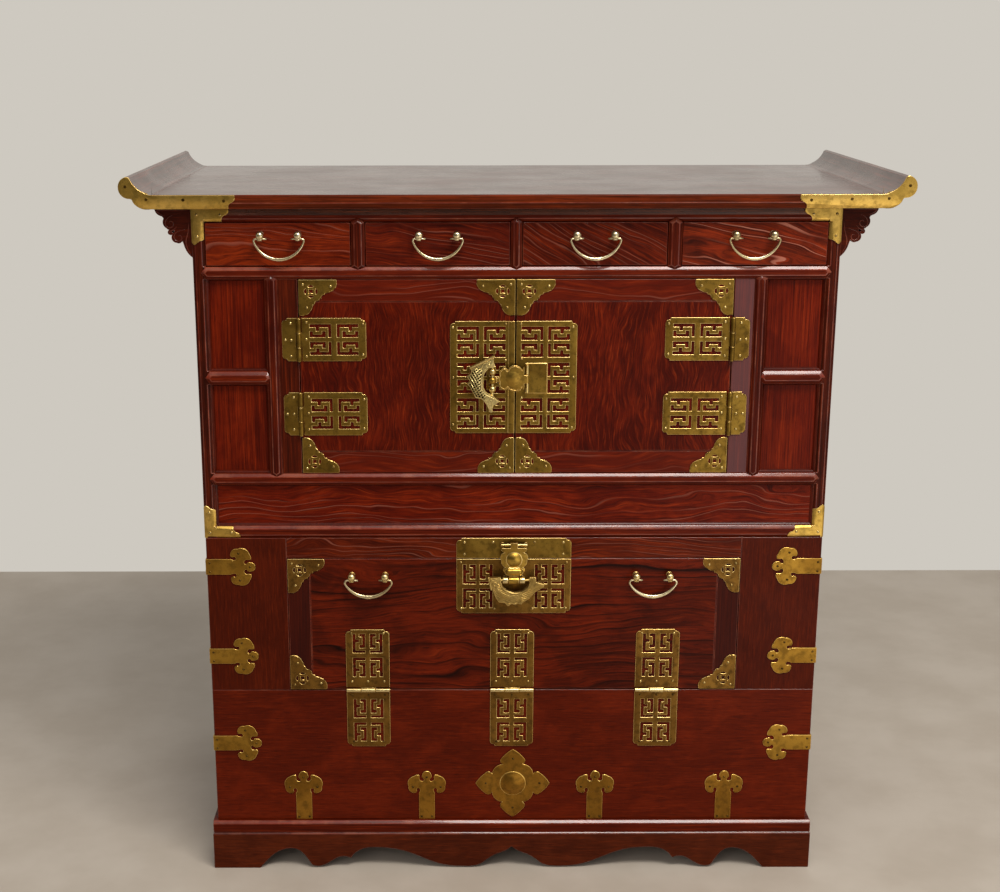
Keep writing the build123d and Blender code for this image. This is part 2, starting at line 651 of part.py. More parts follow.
with BuildPart() as door_hinge_case_leaves:
    for side in (1, -1):
        for z0, z1 in hinge_z:
            zones = hinge_zones(z0, z1)
            out = notched(door_axis_x, 283.0, z0, z1, ("br", "tr"))
            plate(place(out, u=(side, 0)), [], 0, brass)
            for k in (0, 2):
                rod_z(side * door_axis_x, door_axis_y, *zones[k], 3.0)
                rod_z(side * door_axis_x, door_axis_y, zones[k][0] - 1, zones[k][1] + 1, pin_bore, Mode.SUBTRACT)
            # room for the door's own knuckle
            a, b = sorted((side * (door_axis_x - 4), side * (door_axis_x + 3.6)))
            board(a, b, -8, 0, zones[1][0] - 0.3, zones[1][1] + 0.3, Mode.SUBTRACT)
write(door_hinge_case_leaves, "door_hinge_case_leaves")

with BuildPart() as hinge_pins:
    for side in (1, -1):
        for z0, z1 in hinge_z:
            rod_z(side * door_axis_x, door_axis_y, z0 - 0.6, z1 + 0.6, pin_r)
    for x in flap_hinge_x:
        rod_x(flap_axis_y, flap_axis_z, x - flap_hinge_w / 2 - 0.5, x + flap_hinge_w / 2 + 0.5, flap_pin_r)
write(hinge_pins, "hinge_pins")


def flap_zones(x):
    h = flap_hinge_w / 2
    return [(x - h, x - 9.5), (x - 9.0, x + 9.0), (x + 9.5, x + h)]


with BuildPart() as flap_hinge_case_leaves:
    for x in flap_hinge_x:
        zones = flap_zones(x)
        h = flap_hinge_w / 2
        plate(notched(x - h, x + h, 172.0, flap_axis_z, ("bl", "br")),
              fret(x, 208.6, 38.2, 58.6, 6.2, 6.8, upright=True), 0, brass)
        for k in (0, 2):
            rod_x(flap_axis_y, flap_axis_z, *zones[k], 2.5)
            rod_x(flap_axis_y, flap_axis_z, zones[k][0] - 1, zones[k][1] + 1, flap_pin_bore, Mode.SUBTRACT)
        board(x - 9.3, x + 9.3, -7, 0, flap_axis_z - 3.3, flap_axis_z + 4, Mode.SUBTRACT)
write(flap_hinge_case_leaves, "flap_hinge_case_leaves")

with BuildPart() as lock_top_plate:
    plate(notched(-72.0, 72.0, low_rail_z + 0.6, 455.6, ("tl", "tr")), [], 0, brass)
    # crossbar on two short posts
    rod_x(crossbar_y, crossbar_z, -16.5, 16.5, 2.0)
    for x in (-14.5, 14.5):
        rod_y(x, crossbar_z, 0, crossbar_y, 1.6)
write(lock_top_plate, "lock_top_plate")

# ---------------------------------------------------------------------------
# doors
# ---------------------------------------------------------------------------
plate_z = (591.5, 730.9)
fret_rows = [705.3, 660.6, 616.6]


def door_board(side):
    a, b = sorted((side * door_x0, side * door_x1))
    board(a, b, 0, door_t, door_z0, door_z1)
    # fine joint lines where the breadboard ends meet the field
    for z in breadboard_z:
        board(a, b, 0, 0.5, z - 0.35, z + 0.35, Mode.SUBTRACT)


def door_mounts(side):
    for z, sz, along, up in ((door_z0, 1, 0.955, 0.955), (door_z1, -1, 0.985, 0.925)):
        corner_mount(side * door_x0, z, side, sz, along, up)
        corner_mount(side * door_x1, z, -side, sz, along, up)
    for z0, z1 in hinge_z:
        zones = hinge_zones(z0, z1)
        zm = (z0 + z1) / 2
        out = notched(181.0, door_axis_x, z0, z1, ("bl", "tl"))
        plate(place(out, u=(side, 0)), fret(side * 219.9, zm, 58.7, 38.0, 7.0, 5.8), 0, brass)
        rod_z(side * door_axis_x, door_axis_y, *zones[1], 3.0)
        rod_z(side * door_axis_x, door_axis_y, zones[1][0] - 1, zones[1][1] + 1, pin_bore, Mode.SUBTRACT)
        # room for the fixed knuckles
        a, b = sorted((side * (door_axis_x - 3.6), side * (door_axis_x + 1)))
        board(a, b, -8, 0, z0 - 1, zones[0][1] + 0.3, Mode.SUBTRACT)
        board(a, b, -8, 0, zones[2][0] - 0.3, z1 + 1, Mode.SUBTRACT)


with BuildPart() as door_left_panel:
    door_board(-1)
write(door_left_panel, "door_left_panel")

with BuildPart() as door_right_panel:
    door_board(1)
write(door_right_panel, "door_right_panel")

with BuildPart() as door_left_mounts:
    door_mounts(-1)
write(door_left_mounts, "door_left_mounts")

with BuildPart() as door_right_mounts:
    door_mounts(1)
write(door_right_mounts, "door_right_mounts")

eye_z = [649.5, 671.0]
with BuildPart() as door_left_lock_plate:
    holes = []
    for z in fret_rows:
        holes += fret(-41.5, z, 58.6, 37.6, 6.0, 4.3)
    plate(notched(-79.5, -door_x0, *plate_z, ("tl", "bl")), holes, 0, brass)
    # raised band beside the meeting edge
    board(-8.6, -door_x0, -brass - 0.7, -brass, *plate_z)
    # two staple eyes on round shanks
    for z in eye_z:
        rod_y(door_bolt_x, z, -0.3, door_bolt_y, 2.0)
        ball(door_bolt_x, door_bolt_y, z, 4.3)
        rod_z(door_bolt_x, door_bolt_y, z - 6, z + 6, bolt_bore, Mode.SUBTRACT)
write(door_left_lock_plate, "door_left_lock_plate")

leaf_z = (642.0, 679.0)
hasp_knuckle = (655.6, 665.6)
with BuildPart() as door_right_lock_plate:
    holes = []
    for z in fret_rows:
        cells = ((-1, 1), (1, 1), (-1, -1), (1, -1)) if abs(z - 660.6) > 1 else ((1, 1), (1, -1))
        holes += fret(36.3, z, 58.6, 37.6, 6.0, 4.3, cells=cells)
    plate(notched(door_x0, 74.5, *plate_z, ("tr", "br")), holes, 0, brass)
    # leaf that carries the hasp, with a knuckle above and below the hasp's own
    board(12.0, 38.6, -brass - 1.0, -brass, *leaf_z)
    for z0, z1 in ((leaf_z[0] + 1, hasp_knuckle[0] - 0.5), (hasp_knuckle[1] + 0.5, leaf_z[1] - 1)):
        rod_z(hasp_x, hasp_y, z0, z1, 2.6)
        board(hasp_x - 1.2, hasp_x + 1.2, hasp_y, -brass - 0.5, z0, z1)
    rod_z(hasp_x, hasp_y, leaf_z[0] + 0.4, leaf_z[1] - 0.4, 1.24)
write(door_right_lock_plate, "door_right_lock_plate")

# cloud shaped hasp, its lobes above and below the middle line z = 662
HASP = [(10.6, 668.4), (10.6, 676.6), (8.9, 674.9, 8.0, 672.2), (5.0, 676.2, -0.4, 678.0), (-6.4, 676.4, -9.4, 671.8),
        (-13.6, 675.2, -18.0, 672.2), (-20.4, 669.6, -19.6, 666.4), (-20.8, 661.2, -19.6, 656.2), (-20.4, 652.0, -18.0, 649.4),
        (-13.4, 647.4, -9.2, 650.6), (-6.2, 647.0, -0.4, 645.8), (5.4, 646.8, 8.0, 650.6), (9.0, 648.0, 10.6, 647.0),
        (10.6, 655.6), (14.0, 655.6), (14.0, 665.6), (10.6, 665.6)]
with BuildPart() as door_hasp:
    plate(HASP, [], -7.4, 2.6)
    rod_z(hasp_x, hasp_y, *hasp_knuckle, 2.6)
    # domed middle
    dome(-3.2, 661.9, -10.0, 9.4, 1.6)
    # middle eye, open at the back so that it lifts off the bolt
    board(-26.0, -18.5, -10.0, -7.4, 657.6, 662.9)
    ball(door_bolt_x, door_bolt_y, 660.25, 4.8)
    board(-25.4, -23.0, -12.0, -7.4, 657.6, 662.9)
    rod_z(door_bolt_x, door_bolt_y, 654, 667, 2.5, Mode.SUBTRACT)
    board(door_bolt_x - 6.0, door_bolt_x + 2.5, door_bolt_y + 1.0, 0, 654, 667, Mode.SUBTRACT)
    rod_z(hasp_x, hasp_y, hasp_knuckle[0] - 1, hasp_knuckle[1] + 1, 1.3, Mode.SUBTRACT)
write(door_hasp, "door_hasp")

FISH_UP = [
    (-26.6, 688.6), (-55.0, 674.4), (-53.9, 671.9), (-55.2, 668.9), (-60.0, 665.4), (-56.7, 661.9), (-55.5, 659.6),
    (-59.3, 656.5), (-55.2, 652.6), (-53.6, 648.7), (-51.4, 644.8), (-48.7, 639.0), (-42.2, 638.2), (-38.8, 635.5),
    (-35.8, 630.8), (-33.1, 626.1), (-31.9, 622.0), (-29.7, 620.8, -27.7, 622.0), (-28.0, 626.1), (-26.8, 629.6),
    (-23.6, 631.5), (-20.6, 633.5), (-19.7, 635.4), (-22.5, 637.2), (-25.6, 640.2), (-30.1, 643.2),
    (-34.9, 645.6), (-38.6, 651.0, -39.0, 660.0), (-38.4, 668.0, -34.9, 673.3), (-32.5, 676.2), (-26.2, 676.4),
    (-24.9, 679.0), (-26.9, 683.0),
]
with BuildPart() as door_fish_lock:
    plate(FISH_UP, [], door_bolt_y + 2.9, 5.8)
    rod_z(door_bolt_x, door_bolt_y, 635.0, 692.0, bolt_bore, Mode.SUBTRACT)
write(door_fish_lock, "door_fish_lock")

with BuildPart() as door_lock_bolt:
    plate([(-26.4, 689.1), (-26.0, 691.6), (-56.4, 676.5), (-55.6, 674.5)], [], door_bolt_y + 3.2, 6.4)
    rod_z(door_bolt_x, door_bolt_y, 636.5, 689.6, bolt_r)
write(door_lock_bolt, "door_lock_bolt")

# ---------------------------------------------------------------------------
# fall front
# ---------------------------------------------------------------------------
with BuildPart() as fall_front_panel:
    board(-flap_x, flap_x, 0, flap_t, flap_z0, flap_z1)
    for x in (-flap_strip, flap_strip):
        board(x - 0.35, x + 0.35, 0, 0.5, flap_z0, flap_z1, Mode.SUBTRACT)
write(fall_front_panel, "fall_front_panel")


rod_r, rod_bore = 1.5, 1.57     # bail and the bore of its posts
ball_r, head_rise = 5.1, 4.2    # round head of a post and its height over the bail's ends
pull_y = -9.5


def pull_post(x, z, y=0.0):
    """Rosette, shank and round head of a bail pull, with a bored boss under the head at height z."""
    rod_y(x, z + head_rise, y, y - 1.2, 4.0)
    rod_y(x, z + head_rise, y - 1.0, pull_y, 2.3)
    ball(x, pull_y, z + head_rise, ball_r)
    rod_x(pull_y, z, x - 2.7, x + 2.7, 2.8)
    rod_x(pull_y, z, x - 7, x + 7, rod_bore, Mode.SUBTRACT)


def bail(x, z, spread, half, drop, y=pull_y):
    """Drop handle, half its outer half width, whose ends turn in under the heads of its posts."""
    end = spread / 2 - 8.0
    bend = spread / 2 + ball_r - 0.1
    r = half - rod_r - bend
    # centre of the large bow, which the two small bends run into tangentially
    c = (bend ** 2 + r * r - (drop - r) ** 2) / (2 * (drop - 2 * r))
    d = math.atan2(-r - c, bend)
    m = (d + math.pi / 2) / 2
    join = (bend + r * math.cos(d), -r + r * math.sin(d))
    mid = (bend + r * math.cos(m), -r + r * math.sin(m))
    with BuildLine(front(y)) as path:
        Line((x - end, z), (x - bend, z))
        ThreePointArc((x - bend, z), (x - mid[0], z + mid[1]), (x - join[0], z + join[1]))
        ThreePointArc((x - join[0], z + join[1]), (x, z - drop), (x + join[0], z + join[1]))
        ThreePointArc((x + join[0], z + join[1]), (x + mid[0], z + mid[1]), (x + bend, z))
        Line((x + bend, z), (x + end, z))
    with BuildSketch(Plane(origin=(x - end, fy + y, z), z_dir=(-1, 0, 0))) as section:
        Circle(rod_r)
    sweep(section.sketch, path=path.wires()[0])


with BuildPart() as fall_front_mounts:
    for sx in (1, -1):
        for z, sz, up in ((flap_z0, 1, 0.985), (flap_z1, -1, 0.955)):
            corner_mount(sx * flap_x, z, -sx, sz, 0.99, up)
    for x in flap_hinge_x:
        zones = flap_zones(x)
        h = flap_hinge_w / 2
        plate(notched(x - h, x + h, flap_axis_z, 333.5, ("tl", "tr")),
              fret(x, 298.4, 38.2, 58.6, 6.2, 6.8, upright=True), 0, brass)
        rod_x(flap_axis_y, flap_axis_z, *zones[1], 2.5)
        rod_x(flap_axis_y, flap_axis_z, zones[1][0] - 1, zones[1][1] + 1, flap_pin_bore, Mode.SUBTRACT)
        board(x - h - 1, zones[0][1] + 0.3, -7, 0, flap_axis_z - 1, flap_axis_z + 3.3, Mode.SUBTRACT)
        board(zones[2][0] - 0.3, x + h + 1, -7, 0, flap_axis_z - 1, flap_axis_z + 3.3, Mode.SUBTRACT)
    for x in bail_x:
        for side in (1, -1):
            pull_post(x + side * 21.0, bail_z)
write(fall_front_mounts, "fall_front_mounts")

flap_eye_x = [-11.0, 10.2]
with BuildPart() as fall_front_lock_plate:
    holes = fret(-45.2, 391.8, 37.4, 57.6, 5.0, 6.2, upright=True) + fret(45.2, 391.8, 37.4, 57.6, 5.0, 6.2, upright=True)
    plate(notched(-72.0, 72.0, 355.7, flap_z1 - 0.2, ("bl", "br")), holes, 0, brass)
    for x in flap_eye_x:
        rod_y(x, flap_bolt_z, -0.3, flap_bolt_y, 2.0)
        rod_x(flap_bolt_y, flap_bolt_z, x - 3.2, x + 3.2, 4.4)
        rod_x(flap_bolt_y, flap_bolt_z, x - 5, x + 5, bolt_bore, Mode.SUBTRACT)
write(fall_front_lock_plate, "fall_front_lock_plate")

GOURD_HALF = [(16.0, 446.0), (15.6, 442.8, 12.2, 440.2), (16.6, 436.8, 16.2, 430.6), (15.4, 424.6, 11.3, 420.9),
              (13.6, 418.6, 12.0, 414.6), (10.2, 411.0, 5.6, 409.8), (5.0, 404.4)]
with BuildPart() as front_hasp:
    plate(both_halves(GOURD_HALF), [], -9.6, 2.9)
    # swelling of the gourd: a large bulb above a small one
    dome(0, 430.8, -12.5, 9.8, 4.4)
    rod_x(-12.2, 415.4, -6.4, 6.4, 4.6)
    for x in (-6.4, 6.4):
        ball(x, -12.2, 415.4, 4.6)
    # lip that hooks over the crossbar from the front
    board(-4.6, 4.6, -12.5, -9.6, 445.0, 452.4)
    board(-4.6, 4.6, -10.0, -6.2, 450.9, 452.4)
    # knuckle that turns on the padlock's bolt
    rod_x(flap_bolt_y, flap_bolt_z, -6.6, 5.8, 4.8)
    rod_x(flap_bolt_y, flap_bolt_z, -9, 9, bolt_bore, Mode.SUBTRACT)
write(front_hasp, "front_hasp")

FISH_LOW = [
    (-30.6, 408.0), (-16.4, 408.3), (-16.3, 402.2), (-14.4, 396.3), (-8.6, 391.2), (1.0, 388.6), (10.6, 390.6),
    (17.0, 396.4), (19.0, 401.0), (19.0, 408.4), (27.4, 408.8), (27.8, 402.3), (37.9, 400.1), (37.4, 396.0), (26.0, 388.9),
    (19.4, 380.8), (11.7, 375.7), (8.9, 372.6), (5.0, 374.1), (1.2, 372.1), (-2.7, 373.7), (-7.5, 370.6), (-11.4, 374.7),
    (-19.1, 375.7), (-23.0, 381.9), (-26.8, 392.1),
]
with BuildPart() as front_fish_lock:
    plate(FISH_LOW, [], flap_bolt_y + 2.9, 5.8)
    rod_x(flap_bolt_y, flap_bolt_z, -40, 25.0, bolt_bore, Mode.SUBTRACT)
write(front_fish_lock, "front_fish_lock")

with BuildPart() as front_lock_bolt:
    plate([(-31.0, 408.6), (-33.0, 408.2), (-29.2, 391.6), (-27.2, 392.0)], [], flap_bolt_y + 3.2, 6.4)
    rod_x(flap_bolt_y, flap_bolt_z, -31.4, 24.2, bolt_r)
write(front_lock_bolt, "front_lock_bolt")

with BuildPart() as front_bail_left:
    bail(bail_x[0], bail_z, 42.0, 31.0, 22.3)
write(front_bail_left, "front_bail_left")

with BuildPart() as front_bail_right:
    bail(bail_x[1], bail_z, 42.0, 31.0, 22.3)
write(front_bail_right, "front_bail_right")

# ---------------------------------------------------------------------------
# drawers
# ---------------------------------------------------------------------------
for n, (x0, x1) in enumerate(drawer_openings):
    with BuildPart() as drawer:
        board(x0 + 0.8, x1 - 0.8, 0.6, 17, 798.2, 849.5)
        board(x0 + 2.3, x1 - 2.3, 17, box_depth, 797.8, 839.0)
        board(x0 + 10.3, x1 - 10.3, 17, box_depth - 8, 802.8, 840.0, Mode.SUBTRACT)
    write(drawer, f"drawer_{n + 1}")

    with BuildPart() as drawer_posts:
        for side in (1, -1):
            pull_post(pull_x[n] + side * 22.5, pull_z, 0.6)
    write(drawer_posts, f"drawer_{n + 1}_pull_posts")

    with BuildPart() as drawer_bail:
        bail(pull_x[n], pull_z, 45.0, 31.3, 24.5)
    write(drawer_bail, f"drawer_{n + 1}_bail")
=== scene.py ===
import math

import bpy
from mathutils import Matrix, Vector


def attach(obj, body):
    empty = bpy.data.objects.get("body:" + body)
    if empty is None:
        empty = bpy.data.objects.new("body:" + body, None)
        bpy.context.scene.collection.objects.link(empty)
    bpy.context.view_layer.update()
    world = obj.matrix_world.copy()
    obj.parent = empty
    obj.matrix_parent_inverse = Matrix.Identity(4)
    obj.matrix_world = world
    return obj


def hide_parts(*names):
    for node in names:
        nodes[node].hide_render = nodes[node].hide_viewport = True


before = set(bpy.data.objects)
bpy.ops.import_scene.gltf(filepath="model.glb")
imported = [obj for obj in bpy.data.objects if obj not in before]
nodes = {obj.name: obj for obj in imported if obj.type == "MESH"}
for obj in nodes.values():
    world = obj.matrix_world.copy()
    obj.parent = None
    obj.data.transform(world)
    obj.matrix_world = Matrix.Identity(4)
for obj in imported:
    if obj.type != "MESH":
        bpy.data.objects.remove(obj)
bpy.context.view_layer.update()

MM = 0.001
FY = -188.9          # the case front, in the part's frame, mm


def P(x, y, z):
    """Point given from the case front (mm) in the row frame (m)."""
    return Vector((x * MM, (y + FY) * MM, z * MM))


# ---------------------------------------------------------------------------
# materials
# ---------------------------------------------------------------------------
def lin(r, g, b):
    def f(c):
        c /= 255.0
        return c / 12.92 if c <= 0.04045 else ((c + 0.055) / 1.055) ** 2.4
    return (f(r), f(g), f(b), 1.0)


class Mat:
    """A node material with a few shorthand calls."""

    def __init__(self, name):
        self.m = bpy.data.materials.new(name)
        self.m.use_nodes = True
        self.t = self.m.node_tree
        self.t.nodes.clear()
        self.out = self.new("ShaderNodeOutputMaterial")
        self.b = self.new("ShaderNodeBsdfPrincipled")
        self.t.links.new(self.b.outputs[0], self.out.inputs["Surface"])
        self.co = self.new("ShaderNodeTexCoord").outputs["Object"]

    def new(self, kind):
        return self.t.nodes.new(kind)

    def put(self, socket, value):
        if isinstance(value, bpy.types.NodeSocket):
            self.t.links.new(value, socket)
        else:
            socket.default_value = value

    def math(self, op, a, b=0.0, c=0.0, clamp=False):
        n = self.new("ShaderNodeMath")
        n.operation = op
        n.use_clamp = clamp
        self.put(n.inputs[0], a)
        self.put(n.inputs[1], b)
        self.put(n.inputs[2], c)
        return n.outputs[0]

    def add(self, a, b):
        return self.math("ADD", a, b)

    def mul(self, a, b):
        return self.math("MULTIPLY", a, b)

    def sep(self, v):
        n = self.new("ShaderNodeSeparateXYZ")
        self.put(n.inputs[0], v)
        return n.outputs[0], n.outputs[1], n.outputs[2]

    def comb(self, x, y, z):
        n = self.new("ShaderNodeCombineXYZ")
        for i, v in enumerate((x, y, z)):
            self.put(n.inputs[i], v)
        return n.outputs[0]

    def scaled(self, v, s):
        n = self.new("ShaderNodeVectorMath")
        n.operation = "MULTIPLY"
        self.put(n.inputs[0], v)
        n.inputs[1].default_value = s
        return n.outputs[0]

    def noise(self, v, scale=1.0, detail=2.0, rough=0.5, dist=0.0):
        n = self.new("ShaderNodeTexNoise")
        self.put(n.inputs["Vector"], v)
        n.inputs["Scale"].default_value = scale
        n.inputs["Detail"].default_value = detail
        n.inputs["Roughness"].default_value = rough
        n.inputs["Distortion"].default_value = dist
        return n.outputs["Fac"]

    def voronoi(self, v, scale):
        n = self.new("ShaderNodeTexVoronoi")
        self.put(n.inputs["Vector"], v)
        n.inputs["Scale"].default_value = scale
        return n.outputs["Distance"]

    def span(self, v, lo, hi, to_lo=0.0, to_hi=1.0, smooth=True):
        n = self.new("ShaderNodeMapRange")
        n.interpolation_type = "SMOOTHSTEP" if smooth else "LINEAR"
        self.put(n.inputs["Value"], v)
        n.inputs["From Min"].default_value = lo
        n.inputs["From Max"].default_value = hi
        n.inputs["To Min"].default_value = to_lo
        n.inputs["To Max"].default_value = to_hi
        return n.outputs[0]

    def mix(self, f, a, b):
        n = self.new("ShaderNodeMix")
        n.data_type = "RGBA"
        self.put(n.inputs["Factor"], f)
        self.put(n.inputs[6], a)
        self.put(n.inputs[7], b)
        return n.outputs[2]

    def mixf(self, f, a, b):
        n = self.new("ShaderNodeMix")
        n.data_type = "FLOAT"
        self.put(n.inputs[0], f)
        self.put(n.inputs[2], a)
        self.put(n.inputs[3], b)
        return n.outputs[0]

    def bump(self, h, strength, dist):
        n = self.new("ShaderNodeBump")
        n.inputs["Strength"].default_value = strength
        n.inputs["Distance"].default_value = dist
        self.put(n.inputs["Height"], h)
        self.t.links.new(n.outputs[0], self.b.inputs["Normal"])

    def finish(self, color, rough, metallic=0.0, coat=0.0, coat_rough=0.1, spec=0.5):
        self.put(self.b.inputs["Base Color"], color)
        self.put(self.b.inputs["Roughness"], rough)
        self.b.inputs["Metallic"].default_value = metallic
        self.b.inputs["Coat Weight"].default_value = coat
        self.b.inputs["Coat Roughness"].default_value = coat_rough
        self.b.inputs["Specular IOR Level"].default_value = spec
        return self.m


AXES = {"X": (0, 2, 1), "Z": (2, 0, 1), "Y": (1, 2, 0), "Yx": (1, 0, 2)}
# how each kind of board is figured. sway, kink: how far the fibres bend, m, and their scales; freq: growth rings per m;
# line, power: how dark and how narrow the rings are; streak, glow, mott, pale: dark fibres, lit fibres, cloudy patches, pale pores
FIGURE = {
    "curly": dict(sway=0.050, wg=9.0, wa=13.0, kink=0.0050, kg=34.0, ka=60.0, freq=120.0, line=0.50, power=2.2, streak=0.80, fg=34.0,
                  fa=520.0, glow=0.62, mott=0.80, pale=0.0),
    "flame": dict(sway=0.060, wg=6.0, wa=15.0, kink=0.0060, kg=26.0, ka=50.0, freq=110.0, line=0.68, power=2.4, streak=0.80, fg=16.0,
                  fa=360.0, glow=0.62, mott=0.75, pale=0.30),
    "cathedral": dict(sway=0.075, wg=4.2, wa=17.0, kink=0.0050, kg=20.0, ka=50.0, freq=96.0, line=0.66, power=2.6, streak=0.80, fg=12.0,
                      fa=330.0, glow=0.72, mott=0.80, pale=0.95),
    "bold": dict(sway=0.060, wg=4.4, wa=15.0, kink=0.0045, kg=24.0, ka=60.0, freq=84.0, line=1.5, power=3.4, streak=0.55, fg=22.0,
                 fa=420.0, glow=0.30, mott=0.80, pale=0.0),
    "fine": dict(sway=0.012, wg=2.2, wa=9.0, kink=0.0015, kg=14.0, ka=70.0, freq=190.0, line=0.45, power=1.8, streak=0.75, fg=9.0,
                 fa=380.0, glow=0.50, mott=0.50, pale=0.0),
    "straight": dict(sway=0.006, wg=1.4, wa=6.0, kink=0.0010, kg=10.0, ka=70.0, freq=210.0, line=0.45, power=1.6, streak=0.80, fg=10.0,
                     fa=520.0, glow=0.50, mott=0.55, pale=0.0),
    "quiet": dict(sway=0.014, wg=2.6, wa=9.0, kink=0.0020, kg=16.0, ka=60.0, freq=180.0, line=0.22, power=1.6, streak=0.42, fg=40.0,
                  fa=520.0, glow=0.22, mott=0.70, pale=0.0),
}


def grain(m, axis, kind, seed, slant=0.0):
    """Scalars that describe the board at a point: rings, fibres, clouds, pores. slant: fall of the fibres along the board."""
    f = FIGURE[kind]
    c = m.sep(m.co)
    g, a, d = (c[i] for i in AXES[axis])
    if slant:
        a = m.add(a, m.mul(g, slant))
    g, a, d = m.add(g, 3.17 * seed + 1.3), m.add(a, 1.93 * seed + 0.7), m.add(d, 0.71 * seed)
    v = m.comb(g, a, d)
    warp = m.add(m.noise(m.scaled(v, (f["wg"], f["wa"], f["wa"] * 0.5)), 1.0, 2.0, 0.5, 0.35), -0.5)
    kink = m.add(m.noise(m.scaled(v, (f["kg"], f["ka"], 30.0)), 1.0, 1.0, 0.5), -0.5)
    a2 = m.add(a, m.add(m.mul(warp, f["sway"]), m.mul(kink, f["kink"])))
    w = m.comb(g, a2, d)
    width = m.noise(m.comb(0.37, m.mul(a2, 26.0), m.mul(g, 0.8)), 1.0, 2.0, 0.5)
    at = m.mul(m.add(m.add(a2, m.mul(width, 0.030)), m.mul(d, 0.35)), f["freq"])
    saw = m.math("FRACT", at)
    soft = m.mul(m.math("POWER", saw, f["power"]), m.span(saw, 0.90, 1.0, 1.0, 0.0))
    strength = m.span(m.noise(m.scaled(w, (4.0, 46.0, 30.0)), 1.0, 2.0, 0.5), 0.34, 0.66, 0.15, 1.0)
    fibre = m.noise(m.scaled(w, (f["fg"], f["fa"], f["fa"])), 1.0, 3.0, 0.62)
    hair = m.noise(m.scaled(w, (f["fg"] * 3.0, f["fa"] * 2.7, f["fa"] * 2.7)), 1.0, 1.0, 0.5)
    pore = m.noise(m.scaled(w, (60.0, 1050.0, 1050.0)), 1.0, 1.0, 0.5)
    cloud = m.noise(m.scaled(v, (15.0, 24.0, 18.0)), 1.0, 3.0, 0.6, 0.6)
    tone = m.noise(m.scaled(v, (2.0, 6.0, 6.0)), 1.0, 2.0, 0.5)
    rim = m.mul(m.span(saw, 0.84, 0.91), m.span(saw, 0.975, 1.0, 1.0, 0.0))
    return dict(line=m.mul(m.mul(soft, strength), f["line"]), tone=tone,
                streak=m.mul(m.add(m.mul(m.span(fibre, 0.52, 0.30), 0.75), m.mul(m.span(hair, 0.55, 0.35), 0.35)), f["streak"]),
                glow=m.mul(m.span(fibre, 0.50, 0.74), f["glow"]), cloud=m.mul(m.span(cloud, 0.40, 0.66), f["mott"]),
                pore=m.span(pore, 0.60, 0.70), pale=m.mul(m.mul(rim, m.span(strength, 0.30, 0.75)), f["pale"]))


def blend_grain(m, mask, a, b):
    return {k: m.mixf(mask, a[k], b[k]) for k in a}


PALE = lin(158, 96, 78)


def colour(m, g, dark, mid, light, tint=(1.04, 0.78, 0.42)):
    """Body of the board, cloudy, with its lit and dark fibres, rings and pores."""
    base = m.mix(m.span(g["tone"], 0.30, 0.70), m.mix(0.35, mid, dark), mid)
    base = m.mix(g["cloud"], base, light)
    base = m.mix(g["glow"], base, m.mix(0.50, light, lin(158, 66, 30)))
    base = m.mix(g["streak"], base, dark)
    base = m.mix(g["line"], base, dark)
    base = m.mix(m.mul(g["pore"], 0.5), base, dark)
    return m.mix(g["pale"], m.scaled(base, tint), PALE)


def lacquered(m, g, dark, mid, light, rough=0.34, coat=0.0, coat_rough=0.10, shade=None, wear=0.0, spec=0.07):
    """Lacquered wood: broad tone, growth lines, streaks and pores, dulled a little by handling."""
    base = colour(m, g, dark, mid, light)
    if shade is not None:
        base = m.mix(shade[0], base, shade[1])
    if wear > 0:
        rub = m.span(m.noise(m.scaled(m.co, (38.0, 38.0, 38.0)), 1.0, 3.0, 0.6), 0.42, 0.66)
        base = m.mix(m.mul(rub, wear), base, lin(150, 78, 52))
    dull = m.noise(m.scaled(m.co, (9.0, 9.0, 9.0)), 1.0, 3.0, 0.6)
    r = m.add(m.span(dull, 0.3, 0.7, rough - 0.05, rough + 0.08), m.mul(g["streak"], 0.05))
    h = m.add(m.mul(g["streak"], -0.5), m.add(m.mul(g["line"], -0.35), m.mul(g["pore"], -0.9)))
    m.bump(h, 0.35, 0.00016)
    return m.finish(base, r, 0.0, coat, coat_rough, spec)


# tones of the lacquer: dark line, body, lit streak
RED = (lin(44, 8, 4), lin(88, 22, 7), lin(112, 34, 12))
DOOR = (lin(42, 7, 4), lin(73, 16, 5), lin(95, 27, 10))
LOW = (lin(44, 10, 5), lin(80, 23, 8), lin(92, 29, 11))
FLAP = (lin(22, 6, 5), lin(76, 22, 9), lin(96, 30, 13))
DEEP = (lin(28, 8, 6), lin(58, 18, 10), lin(70, 23, 13))
TOPW = (lin(34, 14, 11), lin(66, 26, 20), lin(80, 34, 26))
INNER = (lin(84, 44, 26), lin(146, 92, 58), lin(166, 110, 72))


def wood(name, tones, axis, kind, seed, **kw):
    m = Mat(name)
    return lacquered(m, grain(m, axis, kind, seed), *tones, **kw)


def wood_split(name, tones, first, second, cuts, coord, seed, shade=None, **kw):
    """Two grain directions in one board: second is used outside the two cuts along coord."""
    m = Mat(name)
    c = m.sep(m.co)[coord]
    outside = m.math("MAXIMUM", m.math("LESS_THAN", c, cuts[0]), m.math("GREATER_THAN", c, cuts[1]))
    g = blend_grain(m, outside, grain(m, *first, seed), grain(m, *second, seed + 3.4))
    if shade is not None:
        kw["shade"] = (m.mul(outside, shade[0]), shade[1])
    return lacquered(m, g, *tones, **kw)


def jamb_wood():
    """Jamb strips; the right one is mixed towards a greyish purple as a painted reflection."""
    m = Mat("jamb_lacquer_painted_reflection")
    right = m.math("GREATER_THAN", m.sep(m.co)[0], 0.0)
    # the 0.45 mix towards greyish purple on the right jamb (x > 0) is a painted reflection
    return lacquered(m, grain(m, "Z", "straight", 17.0), lin(34, 9, 6), lin(64, 20, 10), lin(78, 27, 14),
                     shade=(m.mul(right, 0.45), lin(112, 76, 78)))


